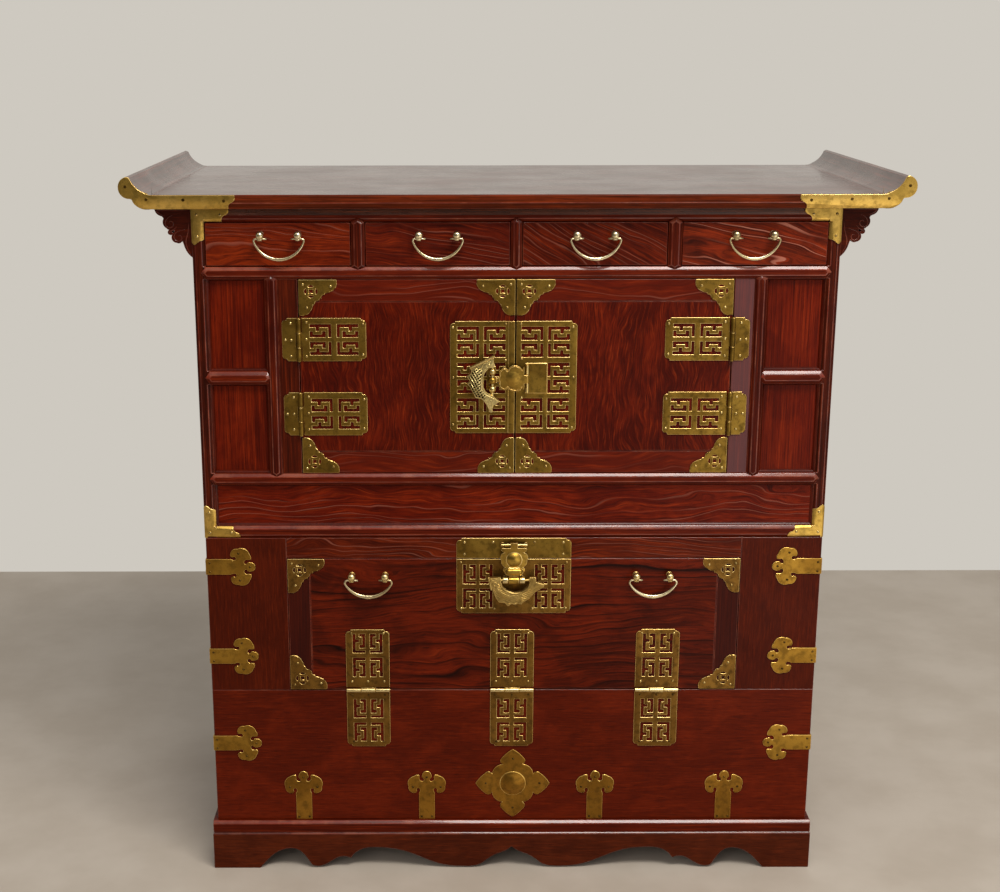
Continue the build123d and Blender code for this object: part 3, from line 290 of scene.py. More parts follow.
def inner(name, seed, axis="X"):
    m = Mat(name)
    g = grain(m, axis, "quiet", seed)
    m.bump(g["streak"], 0.3, 0.0002)
    return m.finish(colour(m, g, *INNER, tint=(1.0, 1.0, 1.0)), m.span(g["tone"], 0.2, 0.8, 0.5, 0.68), 0.0, 0.0, 0.1, 0.3)


def drawer_wood(name, kind, seed, tones, slant=0.0):
    """Lacquered front, plain box behind it."""
    m = Mat(name)
    c = m.sep(m.co)
    g = grain(m, "X", kind, seed, slant)
    behind = m.math("GREATER_THAN", c[1], (FY + 15.0) * MM)
    gi = grain(m, "X", "quiet", seed + 9)
    base = m.mix(behind, colour(m, g, *tones), colour(m, gi, *INNER, tint=(1.0, 1.0, 1.0)))
    m.bump(m.add(m.mul(g["streak"], -0.5), m.mul(g["pore"], -0.9)), 0.35, 0.00016)
    r = m.mixf(behind, m.span(g["tone"], 0.3, 0.7, 0.30, 0.40), 0.6)
    return m.finish(base, r, 0.0, 0.0, 0.12, 0.08)


def brass(name, bright, mid, patina, rough=0.34, amount=0.5, seed=0.0, shine=None, proud=7.4):
    """Old lacquered brass: cloudy olive patina, darker pits, fine scratches; knobs and bolts are rubbed bright."""
    m = Mat(name)
    c = m.sep(m.co)
    v = m.comb(*(m.add(k, seed) for k in c))
    cloud = m.noise(m.scaled(v, (16.0, 16.0, 16.0)), 1.0, 4.0, 0.6, 0.4)
    blot = m.noise(m.scaled(v, (120.0, 120.0, 120.0)), 1.0, 3.0, 0.6)
    pit = m.noise(m.scaled(v, (620.0, 620.0, 620.0)), 1.0, 2.0, 0.6)
    rub = m.noise(m.scaled(v, (60.0, 60.0, 900.0)), 1.0, 2.0, 0.6)
    col = m.mix(m.span(cloud, 0.36, 0.64), mid, bright)
    col = m.mix(m.mul(m.span(blot, 0.44, 0.70), amount), col, patina)
    col = m.mix(m.mul(m.span(pit, 0.60, 0.72), 0.5), col, patina)
    r = m.add(m.span(blot, 0.3, 0.7, rough - 0.06, rough + 0.10), m.mul(rub, 0.08))
    if shine is not None:
        raised = m.math("LESS_THAN", c[1], (FY - proud) * MM)
        col = m.mix(m.mul(raised, 0.75), col, shine)
        r = m.mixf(raised, r, m.span(blot, 0.3, 0.7, 0.22, 0.32))
    m.bump(m.add(m.mul(pit, 0.5), m.mul(cloud, 1.0)), 0.22, 0.0002)
    return m.finish(col, r, 1.0, 0.0, 0.1, 0.5)


SHINE = lin(226, 200, 132)
mounts = brass("brass_mounts", lin(144, 114, 48), lin(118, 90, 35), lin(64, 48, 20), 0.38, 0.55, 0.0, SHINE)
# brass for bevelled arrises and rims: rubbed brighter by wear, and brightened further as a painted highlight
mount_edge_wear_and_highlight = brass("brass_mount_edge", lin(244, 214, 140), lin(222, 184, 108), lin(176, 138, 70), 0.26, 0.3, 1.7)
top_mounts = brass("brass_top_mounts", lin(224, 186, 99), lin(197, 160, 75), lin(120, 95, 43), 0.32, 0.45, 2.3)
straps = brass("brass_straps", lin(168, 128, 50), lin(143, 105, 39), lin(90, 64, 25), 0.37, 0.45, 3.1)
base_brass = brass("brass_base_mounts", lin(162, 117, 44), lin(133, 94, 34), lin(82, 58, 24), 0.37, 0.5, 6.1)
# edge brass of the straps and base mounts: wear, and a painted highlight
strap_edge_wear_and_highlight = brass("brass_strap_edge", lin(242, 204, 118), lin(220, 174, 86), lin(170, 128, 58), 0.27, 0.3, 4.1)
flap_brass = brass("brass_fall_front", lin(137, 101, 45), lin(110, 78, 34), lin(64, 45, 22), 0.40, 0.55, 5.3, lin(244, 222, 160), 3.2)
hasps = brass("brass_hasps", lin(184, 148, 66), lin(146, 112, 46), lin(84, 64, 30), 0.30, 0.5, 14.0)
handles = brass("brass_handles", lin(240, 228, 190), lin(208, 190, 146), lin(112, 94, 62), 0.22, 0.4, 7.7)
locks = brass("brass_locks", lin(228, 208, 144), lin(194, 168, 104), lin(104, 84, 44), 0.28, 0.4, 9.2)
low_fish = brass("brass_low_fish", lin(206, 176, 108), lin(172, 142, 78), lin(104, 82, 42), 0.33, 0.45, 9.9)
fish_dark = brass("brass_fish_ground", lin(60, 48, 24), lin(38, 30, 15), lin(18, 14, 8), 0.5, 0.6, 10.4)
nail_metal = brass("brass_nail_heads", lin(222, 196, 128), lin(170, 140, 80), lin(66, 50, 26), 0.24, 0.5, 11.0)
nail_dark = brass("brass_nail_heads_dark", lin(112, 84, 38), lin(74, 54, 24), lin(34, 25, 14), 0.34, 0.6, 12.0)


# ---------------------------------------------------------------------------
# the frame's own nodes: finish, softened arrises, worn edges that are lighter also as a painted highlight
# ---------------------------------------------------------------------------
# lighter lacquer for arrises and upward slopes: part handling wear, part painted highlight
def worn_edge_and_painted_highlight(name, tones, axis, seed, amount=0.55):
    m = Mat(name)
    return lacquered(m, grain(m, axis, "fine", seed), *tones, rough=0.28, coat=0.52, coat_rough=0.09, wear=amount, spec=0.22)


edge_x_wear_and_highlight = worn_edge_and_painted_highlight("lacquer_edge_x", (lin(52, 14, 9), lin(104, 34, 20), lin(126, 46, 28)), "X", 21.0, 0.4)
edge_z_wear_and_highlight = worn_edge_and_painted_highlight("lacquer_edge_z", (lin(46, 13, 8), lin(86, 27, 16), lin(104, 36, 22)), "Z", 22.0, 0.35)
edge_low_wear_and_highlight = worn_edge_and_painted_highlight("lacquer_edge_low", (lin(42, 12, 8), lin(82, 26, 14), lin(98, 33, 19)), "X", 23.0, 0.3)

# the front edge of the top, and the wide polished bevel of the rail just under it, whose pale greyish brown is a
# painted sheen
top_front = wood("top_front_lacquer", (lin(40, 14, 7), lin(88, 36, 17), lin(108, 44, 18)), "X", "fine", 1.6, rough=0.4)
top_bevel_painted_sheen = wood("top_rail_bevel_painted_sheen", (lin(44, 20, 15), lin(84, 48, 40), lin(104, 62, 52)), "X", "fine", 62.0, rough=0.22, coat=1.0, coat_rough=0.05, spec=0.5)
door_shade = (0.3, lin(98, 28, 10))
NODE_LOOK = {
    "top_board": (wood("top_lacquer", TOPW, "X", "fine", 1.0, rough=0.26, coat=0.5, coat_rough=0.12, spec=0.5), edge_x_wear_and_highlight),
    "top_scroll_ends": (wood("scroll_lacquer", TOPW, "Y", "fine", 2.0, rough=0.26, coat=0.5, coat_rough=0.12, spec=0.5), edge_z_wear_and_highlight),
    "spandrel_brackets": (wood("bracket_lacquer", DEEP, "X", "quiet", 3.0), edge_z_wear_and_highlight),
    "upper_posts": (wood("post_lacquer", DEEP, "Z", "straight", 4.0), edge_z_wear_and_highlight),
    "upper_face_rails": (wood("rail_lacquer", (RED[0], lin(84, 26, 12), lin(100, 34, 17)), "X", "fine", 5.0), edge_x_wear_and_highlight),
    "drawer_dividers": (wood("divider_lacquer", (lin(34, 8, 5), lin(68, 20, 10), lin(82, 27, 14)), "Z", "straight", 6.0), edge_z_wear_and_highlight),
    "door_stiles": (wood("stile_lacquer", (lin(34, 7, 4), lin(62, 14, 6), lin(76, 20, 9)), "Z", "straight", 7.0), edge_z_wear_and_highlight),
    "upper_side_rails": (wood("side_rail_lacquer", DEEP, "Y", "fine", 8.0), edge_z_wear_and_highlight),
    "lower_front_board": (wood("low_board_lacquer", (LOW[0], lin(84, 25, 9), lin(98, 32, 13)), "X", "quiet", 9.0), edge_low_wear_and_highlight),
    "lower_front_stiles": (wood("low_stile_lacquer", (LOW[0], lin(66, 20, 7), lin(78, 26, 10)), "Z", "quiet", 10.0), edge_low_wear_and_highlight),
    "lower_top_rail": (wood("low_rail_lacquer", (LOW[0], lin(78, 25, 10), lin(94, 33, 14)), "X", "flame", 11.0), edge_low_wear_and_highlight),
    "lower_sides": (wood("low_side_lacquer", LOW, "Z", "fine", 12.0), edge_low_wear_and_highlight),
    "plinth_moulding": (wood("plinth_lacquer", LOW, "X", "fine", 13.0), edge_x_wear_and_highlight),
    "plinth_front_apron": (wood("apron_lacquer", (LOW[0], lin(72, 32, 19), lin(84, 38, 24)), "X", "quiet", 14.0), edge_low_wear_and_highlight),
    "plinth_side_aprons": (wood("side_apron_lacquer", LOW, "Y", "quiet", 15.0), edge_low_wear_and_highlight),
    "plinth_rear_apron": (wood("rear_apron_lacquer", DEEP, "X", "quiet", 16.0), edge_low_wear_and_highlight),
    "door_jambs": (jamb_wood(), edge_z_wear_and_highlight),
    "front_panels": (wood_split("front_panel_lacquer", (lin(46, 8, 4), lin(88, 21, 7), lin(112, 34, 12)),
                                ("Z", "straight"), ("X", "flame"), (0.533, 9.0), 2, 18.0), edge_z_wear_and_highlight),
    "upper_side_panels": (wood("side_panel_lacquer", RED, "Z", "curly", 19.0), edge_z_wear_and_highlight),
    "upper_back_panel": (wood("back_panel_wood", DEEP, "X", "quiet", 20.0, rough=0.5), edge_z_wear_and_highlight),
    "lower_back_panel": (wood("low_back_wood", DEEP, "X", "quiet", 24.0, rough=0.5), edge_low_wear_and_highlight),
    "drawer_deck": (inner("deck_wood", 25.0), None),
    "upper_shelves": (inner("shelf_wood", 26.0), None),
    "lower_boards": (inner("low_board_wood", 27.0), None),
    "door_left_panel": (wood_split("door_left_lacquer", DOOR, ("Z", "curly"), ("X", "flame"), (0.5682, 0.7549), 2, 31.0, door_shade), edge_x_wear_and_highlight),
    "door_right_panel": (wood_split("door_right_lacquer", DOOR, ("Z", "curly"), ("X", "flame"), (0.5682, 0.7549), 2, 37.0, door_shade), edge_x_wear_and_highlight),
    "fall_front_panel": (wood_split("fall_front_lacquer", FLAP, ("X", "bold"), ("Z", "straight"), (-0.257, 0.257), 0, 41.0,
                                    (0.75, lin(46, 13, 8))), edge_x_wear_and_highlight),
    "drawer_1": (drawer_wood("drawer_1_lacquer", "flame", 51.0, (lin(52, 10, 4), lin(104, 34, 12), lin(128, 48, 18))), edge_x_wear_and_highlight),
    "drawer_2": (drawer_wood("drawer_2_lacquer", "flame", 53.0, (lin(40, 8, 4), lin(71, 17, 6), lin(92, 27, 10)), 0.12), edge_x_wear_and_highlight),
    "drawer_3": (drawer_wood("drawer_3_lacquer", "flame", 55.0, (lin(36, 8, 5), lin(76, 21, 11), lin(98, 32, 15)), 0.62), edge_x_wear_and_highlight),
    "drawer_4": (drawer_wood("drawer_4_lacquer", "cathedral", 57.0, (lin(36, 10, 8), lin(88, 31, 19), lin(122, 44, 24)), 0.20), edge_x_wear_and_highlight),
}
for n in ("door_left_mounts", "door_right_mounts", "door_left_lock_plate", "door_right_lock_plate",
          "door_hinge_case_leaves", "hinge_pins", "lock_top_plate"):
    NODE_LOOK[n] = (mounts, mount_edge_wear_and_highlight)
NODE_LOOK["case_corner_mounts"] = (top_mounts, mount_edge_wear_and_highlight)
NODE_LOOK["side_straps"] = (straps, strap_edge_wear_and_highlight)
NODE_LOOK["base_mounts"] = (base_brass, strap_edge_wear_and_highlight)
for n in ("fall_front_mounts", "fall_front_lock_plate", "flap_hinge_case_leaves"):
    NODE_LOOK[n] = (flap_brass, mount_edge_wear_and_highlight)
for n in ("door_hasp", "front_hasp"):
    NODE_LOOK[n] = (hasps, mount_edge_wear_and_highlight)
for n in ("door_fish_lock", "door_lock_bolt"):
    NODE_LOOK[n] = (locks, mount_edge_wear_and_highlight)
for n in ("front_fish_lock", "front_lock_bolt"):
    NODE_LOOK[n] = (low_fish, mount_edge_wear_and_highlight)
for n in nodes:
    if n.endswith("_pull_posts") or "bail" in n:
        NODE_LOOK[n] = (handles, mount_edge_wear_and_highlight)

# rails whose sloping upper faces are kept polished and take the lighter edge lacquer, lighter in part as a painted
# highlight on the faces turned up
UPPER_SLOPES_WEAR_AND_HIGHLIGHT = {"upper_face_rails", "plinth_moulding", "plinth_front_apron", "plinth_side_aprons", "drawer_dividers", "door_stiles"}
for n, o in nodes.items():
    face, edge = NODE_LOOK[n]
    o.data.materials.clear()
    o.data.materials.append(face)
    if edge is not None:
        o.data.materials.append(edge)
    for p in o.data.polygons:
        p.material_index = 1 if n in UPPER_SLOPES_WEAR_AND_HIGHLIGHT and p.normal.z > 0.25 and abs(p.normal.z) < 0.93 else 0
    if n == "upper_face_rails":
        # the rail's top bevel takes the pale lacquer whose colour is a painted sheen
        o.data.materials.append(top_bevel_painted_sheen)
        for p in o.data.polygons:
            if p.center.z > 0.8586 and p.normal.y < -0.5 and p.normal.z > 0.2:
                p.material_index = 2
    if n in ("top_board", "top_scroll_ends"):
        o.data.materials.append(top_front)
        for p in o.data.polygons:
            if abs(p.normal.y) > 0.3:
                p.material_index = 2
    if o.data.has_custom_normals:
        bpy.context.view_layer.objects.active = o
        bpy.ops.mesh.customdata_custom_splitnormals_clear()
    o.data.shade_smooth()
    metal = face.name.startswith("brass")
    weld = o.modifiers.new("weld", "WELD")
    weld.merge_threshold = 1e-5
    if not (n.endswith("_pull_posts") or "bail" in n or n == "hinge_pins"):
        if not metal:
            flat = o.modifiers.new("planar", "DECIMATE")
            flat.decimate_type = "DISSOLVE"
            flat.angle_limit = math.radians(0.4)
            flat.delimit = {"MATERIAL"}
        soft = o.modifiers.new("soft", "BEVEL")
        soft.limit_method = "ANGLE"
        soft.angle_limit = math.radians(40 if metal else 30)
        soft.width = 0.00045 if metal else 0.0007
        soft.segments = 1 if metal else 2
        soft.use_clamp_overlap = False
        soft.miter_outer = "MITER_ARC" if not metal else "MITER_SHARP"
        if n == "top_scroll_ends":      # narrow facets along the curl
            soft.width = 0.0004
            soft.miter_outer = "MITER_SHARP"
        if n == "lock_top_plate":
            soft.loop_slide = False
        # bevel faces take slot 1, the lighter edge material: part wear, part painted highlight
        if edge is not None:
            soft.material = 1
        wn = o.modifiers.new("normals", "WEIGHTED_NORMAL")
        wn.mode = "FACE_AREA"
        wn.weight = 60

# ---------------------------------------------------------------------------
# pieces made here
# ---------------------------------------------------------------------------
made = {}


def piece(name, verts, faces, body, mat, slot, smooth=True):
    me = bpy.data.meshes.new(name)
    me.from_pydata([tuple(v) for v in verts], [], faces)
    me.validate()
    me.update()
    if smooth:
        me.shade_smooth()
    me.materials.append(mat)
    o = bpy.data.objects.new(name, me)
    bpy.context.scene.collection.objects.link(o)
    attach(o, body)
    made[name] = o
    return o


def join(parts):
    """Several (verts, faces) as one."""
    verts, faces = [], []
    for v, f in parts:
        k = len(verts)
        verts += v
        faces += [tuple(i + k for i in face) for face in f]
    return verts, faces


def nail(at, out, r=1.75, h=1.05, n=12):
    """Round headed nail at a point of a surface that faces out."""
    out = Vector(out).normalized()
    side = out.cross(Vector((0, 0, 1)))
    if side.length < 0.1:
        side = out.cross(Vector((1, 0, 0)))
    side.normalize()
    up = side.cross(out)
    verts, faces = [], []
    rings = [(-0.12, 1.0), (0.12, 1.0), (0.55, 0.86), (0.86, 0.56), (0.98, 0.24)]
    for lift, w in rings:
        for i in range(n):
            a = 2 * math.pi * i / n
            verts.append(at + out * (h * MM * lift) + (side * math.cos(a) + up * math.sin(a)) * (r * MM * w))
    for k in range(len(rings) - 1):
        for i in range(n):
            j = (i + 1) % n
            faces.append((k * n + i, k * n + j, (k + 1) * n + j, (k + 1) * n + i))
    verts.append(at + out * (h * MM))
    top = len(verts) - 1
    last = (len(rings) - 1) * n
    for i in range(n):
        faces.append((last + i, last + (i + 1) % n, top))
    faces.append(tuple(reversed(range(n))))
    return verts, faces


def tube(points, r, n=8, closed=False, taper=False):
    """Round cord of metal or wood along points (row frame, m), r in mm."""
    pts = [Vector(p) for p in points]
    m = len(pts)
    verts, faces = [], []
    ref = Vector((0, 1, 0))
    for i, p in enumerate(pts):
        if closed:
            t = (pts[(i + 1) % m] - pts[i - 1]).normalized()
        else:
            t = (pts[min(i + 1, m - 1)] - pts[max(i - 1, 0)]).normalized()
        s = t.cross(ref)
        if s.length < 0.1:
            s = t.cross(Vector((1, 0, 0)))
        s.normalize()
        u = s.cross(t)
        rr = r * MM
        if taper and not closed:
            f = i / (m - 1)
            rr *= max(0.35, math.sin(math.pi * min(max(f, 0.0), 1.0)) ** 0.5)
        for k in range(n):
            a = 2 * math.pi * k / n
            verts.append(p + (s * math.cos(a) + u * math.sin(a)) * rr)
    rings = m if closed else m - 1
    for i in range(rings):
        j = (i + 1) % m
        for k in range(n):
            l = (k + 1) % n
            faces.append((i * n + k, j * n + k, j * n + l, i * n + l))
    if not closed:
        faces.append(tuple(range(n)))
        faces.append(tuple(reversed(range((m - 1) * n, m * n))))
    return verts, faces


def smooth_path(pts, steps=6, closed=False):
    """Catmull-Rom through 2D points."""
    out = []
    m = len(pts)
    last = m if closed else m - 1
    for i in range(last):
        p = [pts[(i + k) % m] if closed else pts[min(max(i + k, 0), m - 1)] for k in (-1, 0, 1, 2)]
        for s in range(steps):
            t = s / steps
            out.append(tuple(0.5 * (2 * b + (c - a) * t + (2 * a - 5 * b + 4 * c - d) * t * t + (3 * b - a - 3 * c + d) * t ** 3)
                             for a, b, c, d in zip(*p)))
    if not closed:
        out.append(pts[-1])
    return out


FRONT = (0, -1, 0)
PLATE = -1.3         # front face of the sheet brass

# nails -----------------------------------------------------------------
case_nails, strap_nails, edge_nails = [], [], []
left_nails, right_nails, flap_nails = [], [], []
for side in (1, -1):
    for x, z in ((458.5, 894.1), (434.7, 879.3), (391.5, 878.8), (344.0, 877.6)):
        edge_nails.append((P(side * x, -22.19, z), FRONT))
    for x, z in ((380.2, 833.4), (352.4, 858.9), (380.2, 859.2)):
        case_nails.append((P(side * x, PLATE, z), FRONT))
    for x, z in ((380.2, 489.5), (380.2, 463.4), (353.2, 463.6)):
        case_nails.append((P(side * x, PLATE, z), FRONT))
    for x, z in ((272.5, 728.5), (278.9, 708.4), (271.8, 707.9), (272.5, 688.2),
                 (270.8, 636.7), (279.0, 616.0), (270.8, 616.0), (271.4, 596.3)):
        case_nails.append((P(side * x, PLATE, z), FRONT))
    door = right_nails if side > 0 else left_nails
    for x, z in ((253.2, 729.8), (253.6, 709.1), (253.8, 688.0), (184.9, 727.6), (185.1, 690.0),
                 (252.6, 637.4), (253.0, 617.0), (253.0, 596.4), (184.6, 634.4), (185.2, 597.6)):
        door.append((P(side * x, PLATE, z), FRONT))
    for cx, sx in ((0.9, 1), (261.7, -1)):
        for cz, sz, ku, kv in ((540.8, 1, 0.955, 0.955), (781.5, -1, 0.985, 0.925)):
            for u, v in ((39.4, 8.5), (5.5, 6.3), (9.8, 36.6)):
                door.append((P(side * (cx + sx * ku * u), PLATE, cz + sz * kv * v), FRONT))
    for cz, sz, kv in ((252.0, 1, 0.985), (428.2, -1, 0.955)):
        for u, v in ((39.4, 8.5), (5.5, 6.3), (9.8, 36.6)):
            flap_nails.append((P(side * (285.0 - 0.99 * u), PLATE, cz + sz * kv * v), FRONT))
    for zc in (418.0, 297.5, 176.5):
        for x, dz in ((382.6, 5.4), (382.5, -6.6), (346.0, 18.0), (345.0, -17.9), (332.0, 0.0)):
            strap_nails.append((P(side * x, PLATE, zc + dz), FRONT))
        for y, dz in ((4.0, 5.4), (4.0, -6.6), (40.5, 18.0), (40.5, -17.9), (54.5, 0.0)):
            strap_nails.append((P(side * 387.8, y, zc + dz), (side, 0, 0)))
for x, z in ((-76.2, 723.4), (-75.8, 661.4), (-76.2, 602.5), (-12.0, 727.4), (-12.2, 682.6)):
    left_nails.append((P(x, PLATE, z), FRONT))
for x, z in ((6.4, 727.6), (7.3, 684.4), (7.7, 636.0), (8.1, 595.6), (69.4, 724.0), (70.6, 661.7), (69.6, 598.4)):
    right_nails.append((P(x, PLATE, z), FRONT))
for cx in (-272.3, -111.3, 108.5, 277.0):
    for dx, z in ((-18.0, 67.3 + 46.5), (18.0, 67.3 + 46.5), (0.0, 67.3 + 60.5), (-6.8, 71.4), (6.8, 71.4)):
        strap_nails.append((P(cx + dx, PLATE, z), FRONT))
for dx, dz in ((0.2, 35.0), (0.2, -35.0), (35.0, 0.0), (-35.0, 0.0)):
    strap_nails.append((P(0.9 + dx, PLATE, 119.0 + dz), FRONT))
for x in (-185.7, -1.2, 184.5):
    for dx, z in ((-20.4, 328.5), (20.4, 328.5), (-20.5, 262.6), (0.0, 262.6), (20.7, 262.6)):
        flap_nails.append((P(x + dx, PLATE, z), FRONT))
    for dx, z in ((-20.5, 244.2), (0.5, 243.6), (21.5, 244.2), (-19.5, 178.6), (19.5, 178.6)):
        strap_nails.append((P(x + dx, PLATE, z), FRONT))
for x, z in ((-66.0, 362.5), (66.0, 362.5), (-24.2, 362.0), (24.2, 362.0), (-66.5, 423.6), (66.5, 423.6)):
    flap_nails.append((P(x, PLATE, z), FRONT))
for x, z in ((-62.0, 450.2), (62.0, 450.2), (-62.0, 434.6), (62.0, 434.6), (-26.0, 450.6), (26.0, 450.6)):
    case_nails.append((P(x, PLATE, z), FRONT))


def nails(name, places, body, mat, slot, r=1.75, h=1.05):
    piece(name, *join([nail(at, out, r, h) for at, out in places]), body, mat, slot)


nails("case_mount_nails", case_nails, "case", nail_metal, "brass_mounts")
nails("strap_nails", strap_nails, "case", nail_dark, "brass_mounts", 1.5)
nails("top_edge_nails", edge_nails, "case", nail_dark, "brass_mounts", 1.9, 0.06)      # flush heads
nails("door_left_nails", left_nails, "door_left", nail_metal, "brass_mounts")
nails("door_right_nails", right_nails, "door_right", nail_metal, "brass_mounts")
nails("fall_front_nails", flap_nails, "flap", nail_metal, "brass_mounts", 1.6)


# carved ridges on the spandrel brackets ----------------------------------
def bracket_paths():
    """Ridge lines on one bracket, u out from the post and v down from the top board."""
    yield [(2.5, 3.2), (22, 3.2), (39.2, 3.4), (38.6, 6.2), (34.6, 8.6), (31.4, 10.4)]
    # upper curl
    yield [(22.0, 9.5), (27.0, 12.0), (30.6, 17.0), (29.8, 22.2), (25.4, 24.2), (21.6, 21.4), (21.8, 17.6), (24.8, 16.4), (26.4, 18.6)]
    # middle bud
    yield [(17.4, 22.6), (21.4, 26.4), (25.6, 28.4), (26.0, 30.8)]
    # lower curl
    yield [(7.8, 26.2), (12.6, 27.4), (18.4, 29.8), (21.2, 34.4), (19.4, 39.0), (14.8, 40.0), (12.0, 36.8), (13.4, 33.4), (16.4, 33.8)]
    yield [(2.4, 17.0), (4.4, 30.0), (7.2, 40.0), (6.0, 48.0), (2.2, 55.6)]


ridges = []
for side in (1, -1):
    for y in (4.0, 376.0):
        for path in bracket_paths():
            pts = [P(side * (387.5 + u), y, 867.5 - v) for u, v in smooth_path(path, 5)]
            ridges.append(tube(pts, 0.75, 8, taper=True))
# the ridges take the lighter edge lacquer: part wear, part painted highlight
piece("spandrel_carving", *join(ridges), "case", edge_z_wear_and_highlight, "case_wood")


# beads round the small recessed panels ------------------------------------
def bead(x0, x1, z0, z1, y_front, y_back, w):
    """Mitred moulding inside a recess: from the recess wall down to the panel."""
    profile = [(0.0, y_front), (0.28 * w, y_front + 0.10 * (y_back - y_front)), (0.62 * w, y_front + 0.45 * (y_back - y_front)),
               (0.9 * w, y_back - 0.12 * (y_back - y_front)), (w, y_back + 0.2), (0.0, y_back + 0.2)]
    verts, faces = [], []
    n = len(profile)
    for cx, cz, sx, sz in ((x0, z0, 1, 1), (x1, z0, -1, 1), (x1, z1, -1, -1), (x0, z1, 1, -1)):
        for w_, y in profile:
            verts.append(P(cx + sx * w_, y, cz + sz * w_))
    for i in range(4):
        j = (i + 1) % 4
        for k in range(n):
            l = (k + 1) % n
            faces.append((i * n + k, i * n + l, j * n + l, j * n + k))
    return verts, faces


beads = []
for side in (1, -1):
    a, b = sorted((side * 302.0, side * 372.0))
    beads.append(bead(a, b, 539.9, 653.0, 2.7, 6.0, 3.4))
    beads.append(bead(a, b, 669.3, 782.3, 2.7, 6.0, 3.4))
beads.append(bead(-372.0, 372.0, 471.5, 525.6, 2.7, 5.0, 3.2))
bead_wood = wood("bead_lacquer", (lin(30, 7, 4), lin(66, 17, 7), lin(80, 23, 10)), "Z", "quiet", 61.0, coat=0.2)
piece("panel_beads", *join(beads), "case", bead_wood, "case_wood", smooth=False)


# carving on the fish locks ---------------------------------------------------
def inside(poly, x, z):
    hit = False
    for i in range(len(poly)):
        (x0, z0), (x1, z1) = poly[i - 1], poly[i]
        if (z0 > z) != (z1 > z) and x < (x1 - x0) * (z - z0) / (z1 - z0) + x0:
            hit = not hit
    return hit


def lattice(poly, y, angle, pitch, r):
    """Ribs at one angle over the inside of an outline."""
    parts = []
    cx = sum(p[0] for p in poly) / len(poly)
    cz = sum(p[1] for p in poly) / len(poly)
    dx, dz = math.cos(math.radians(angle)), math.sin(math.radians(angle))
    reach = 60.0
    k = -int(reach / pitch)
    while k * pitch < reach:
        ox, oz = cx - dz * k * pitch, cz + dx * k * pitch
        run = []
        t = -reach
        while t <= reach:
            x, z = ox + dx * t, oz + dz * t
            if inside(poly, x, z):
                run.append((x, z))
            else:
                if len(run) > 4:
                    parts.append(tube([P(run[0][0], y, run[0][1]), P(run[-1][0], y, run[-1][1])], r, 6))
                run = []
            t += 0.3
        k += 1
    return parts


FISH_Y = -16.4
UP_BODY = [(-52.6, 671.9), (-53.8, 668.4), (-57.6, 665.0), (-55.4, 661.8), (-54.4, 659.4), (-57.2, 656.3), (-54.0, 652.0), (-52.4, 648.0),
           (-50.4, 644.6), (-47.8, 640.4), (-42.0, 639.4), (-38.2, 637.0), (-35.6, 639.6), (-37.0, 643.6), (-40.6, 651.0), (-41.0, 660.0),
           (-40.2, 668.0), (-38.6, 672.4), (-42.4, 675.4), (-47.6, 676.2)]
up = lattice(UP_BODY, FISH_Y - 0.2, 38, 3.1, 0.52) + lattice(UP_BODY, FISH_Y - 0.2, -62, 3.1, 0.52)


def slab(poly, y0, y1):
    """Thin sheet with the outline poly."""
    n = len(poly)
    verts = [P(x, y0, z) for x, z in poly] + [P(x, y1, z) for x, z in poly]
    area2 = sum(poly[i - 1][0] * poly[i][1] - poly[i][0] * poly[i - 1][1] for i in range(n))
    front, back = tuple(range(n)), tuple(reversed(range(n, 2 * n)))
    sides = [(i, i + n, (i + 1) % n + n, (i + 1) % n) for i in range(n)]
    faces = [front, back] + sides
    return verts, faces if area2 > 0 else [tuple(reversed(f)) for f in faces]


piece("door_fish_ground", *slab(UP_BODY, FISH_Y - 0.12, FISH_Y + 0.3), "door_lock", fish_dark, "brass_locks", smooth=False)


def loop(path, y, r, closed=False, taper=True):
    return tube([P(x, y, z) for x, z in smooth_path(path, 5, closed)], r, 8, closed, taper)


up += [
    loop([(-34.5, 676.6), (-38.6, 673.6), (-41.2, 668.0), (-42.0, 660.0), (-41.6, 651.0), (-37.8, 644.2), (-33.0, 641.4), (-27.4, 638.6), (-22.0, 635.6)],
         FISH_Y - 0.1, 0.9),
    loop([(-30.4, 684.0), (-34.4, 682.0), (-36.0, 678.6), (-33.6, 676.6)], FISH_Y, 0.7),
    loop([(-34.0, 683.4), (-39.6, 680.6), (-41.2, 676.2)], FISH_Y, 0.65),
    loop([(-33.4, 636.8), (-31.0, 630.0), (-30.0, 623.4)], FISH_Y, 0.5),
    loop([(-36.2, 636.2), (-34.0, 630.4), (-31.6, 624.6)], FISH_Y, 0.5),
    loop([(-30.2, 636.4), (-28.6, 630.4), (-28.8, 624.0)], FISH_Y, 0.5),
    loop([(-26.0, 636.6), (-23.6, 634.2), (-21.6, 634.4)], FISH_Y, 0.45),
]
eye_up = [nail(P(-32.4, FISH_Y, 680.2), FRONT, 1.5, 1.0)]
piece("door_fish_carving", *join(up + eye_up), "door_lock", locks, "brass_locks")

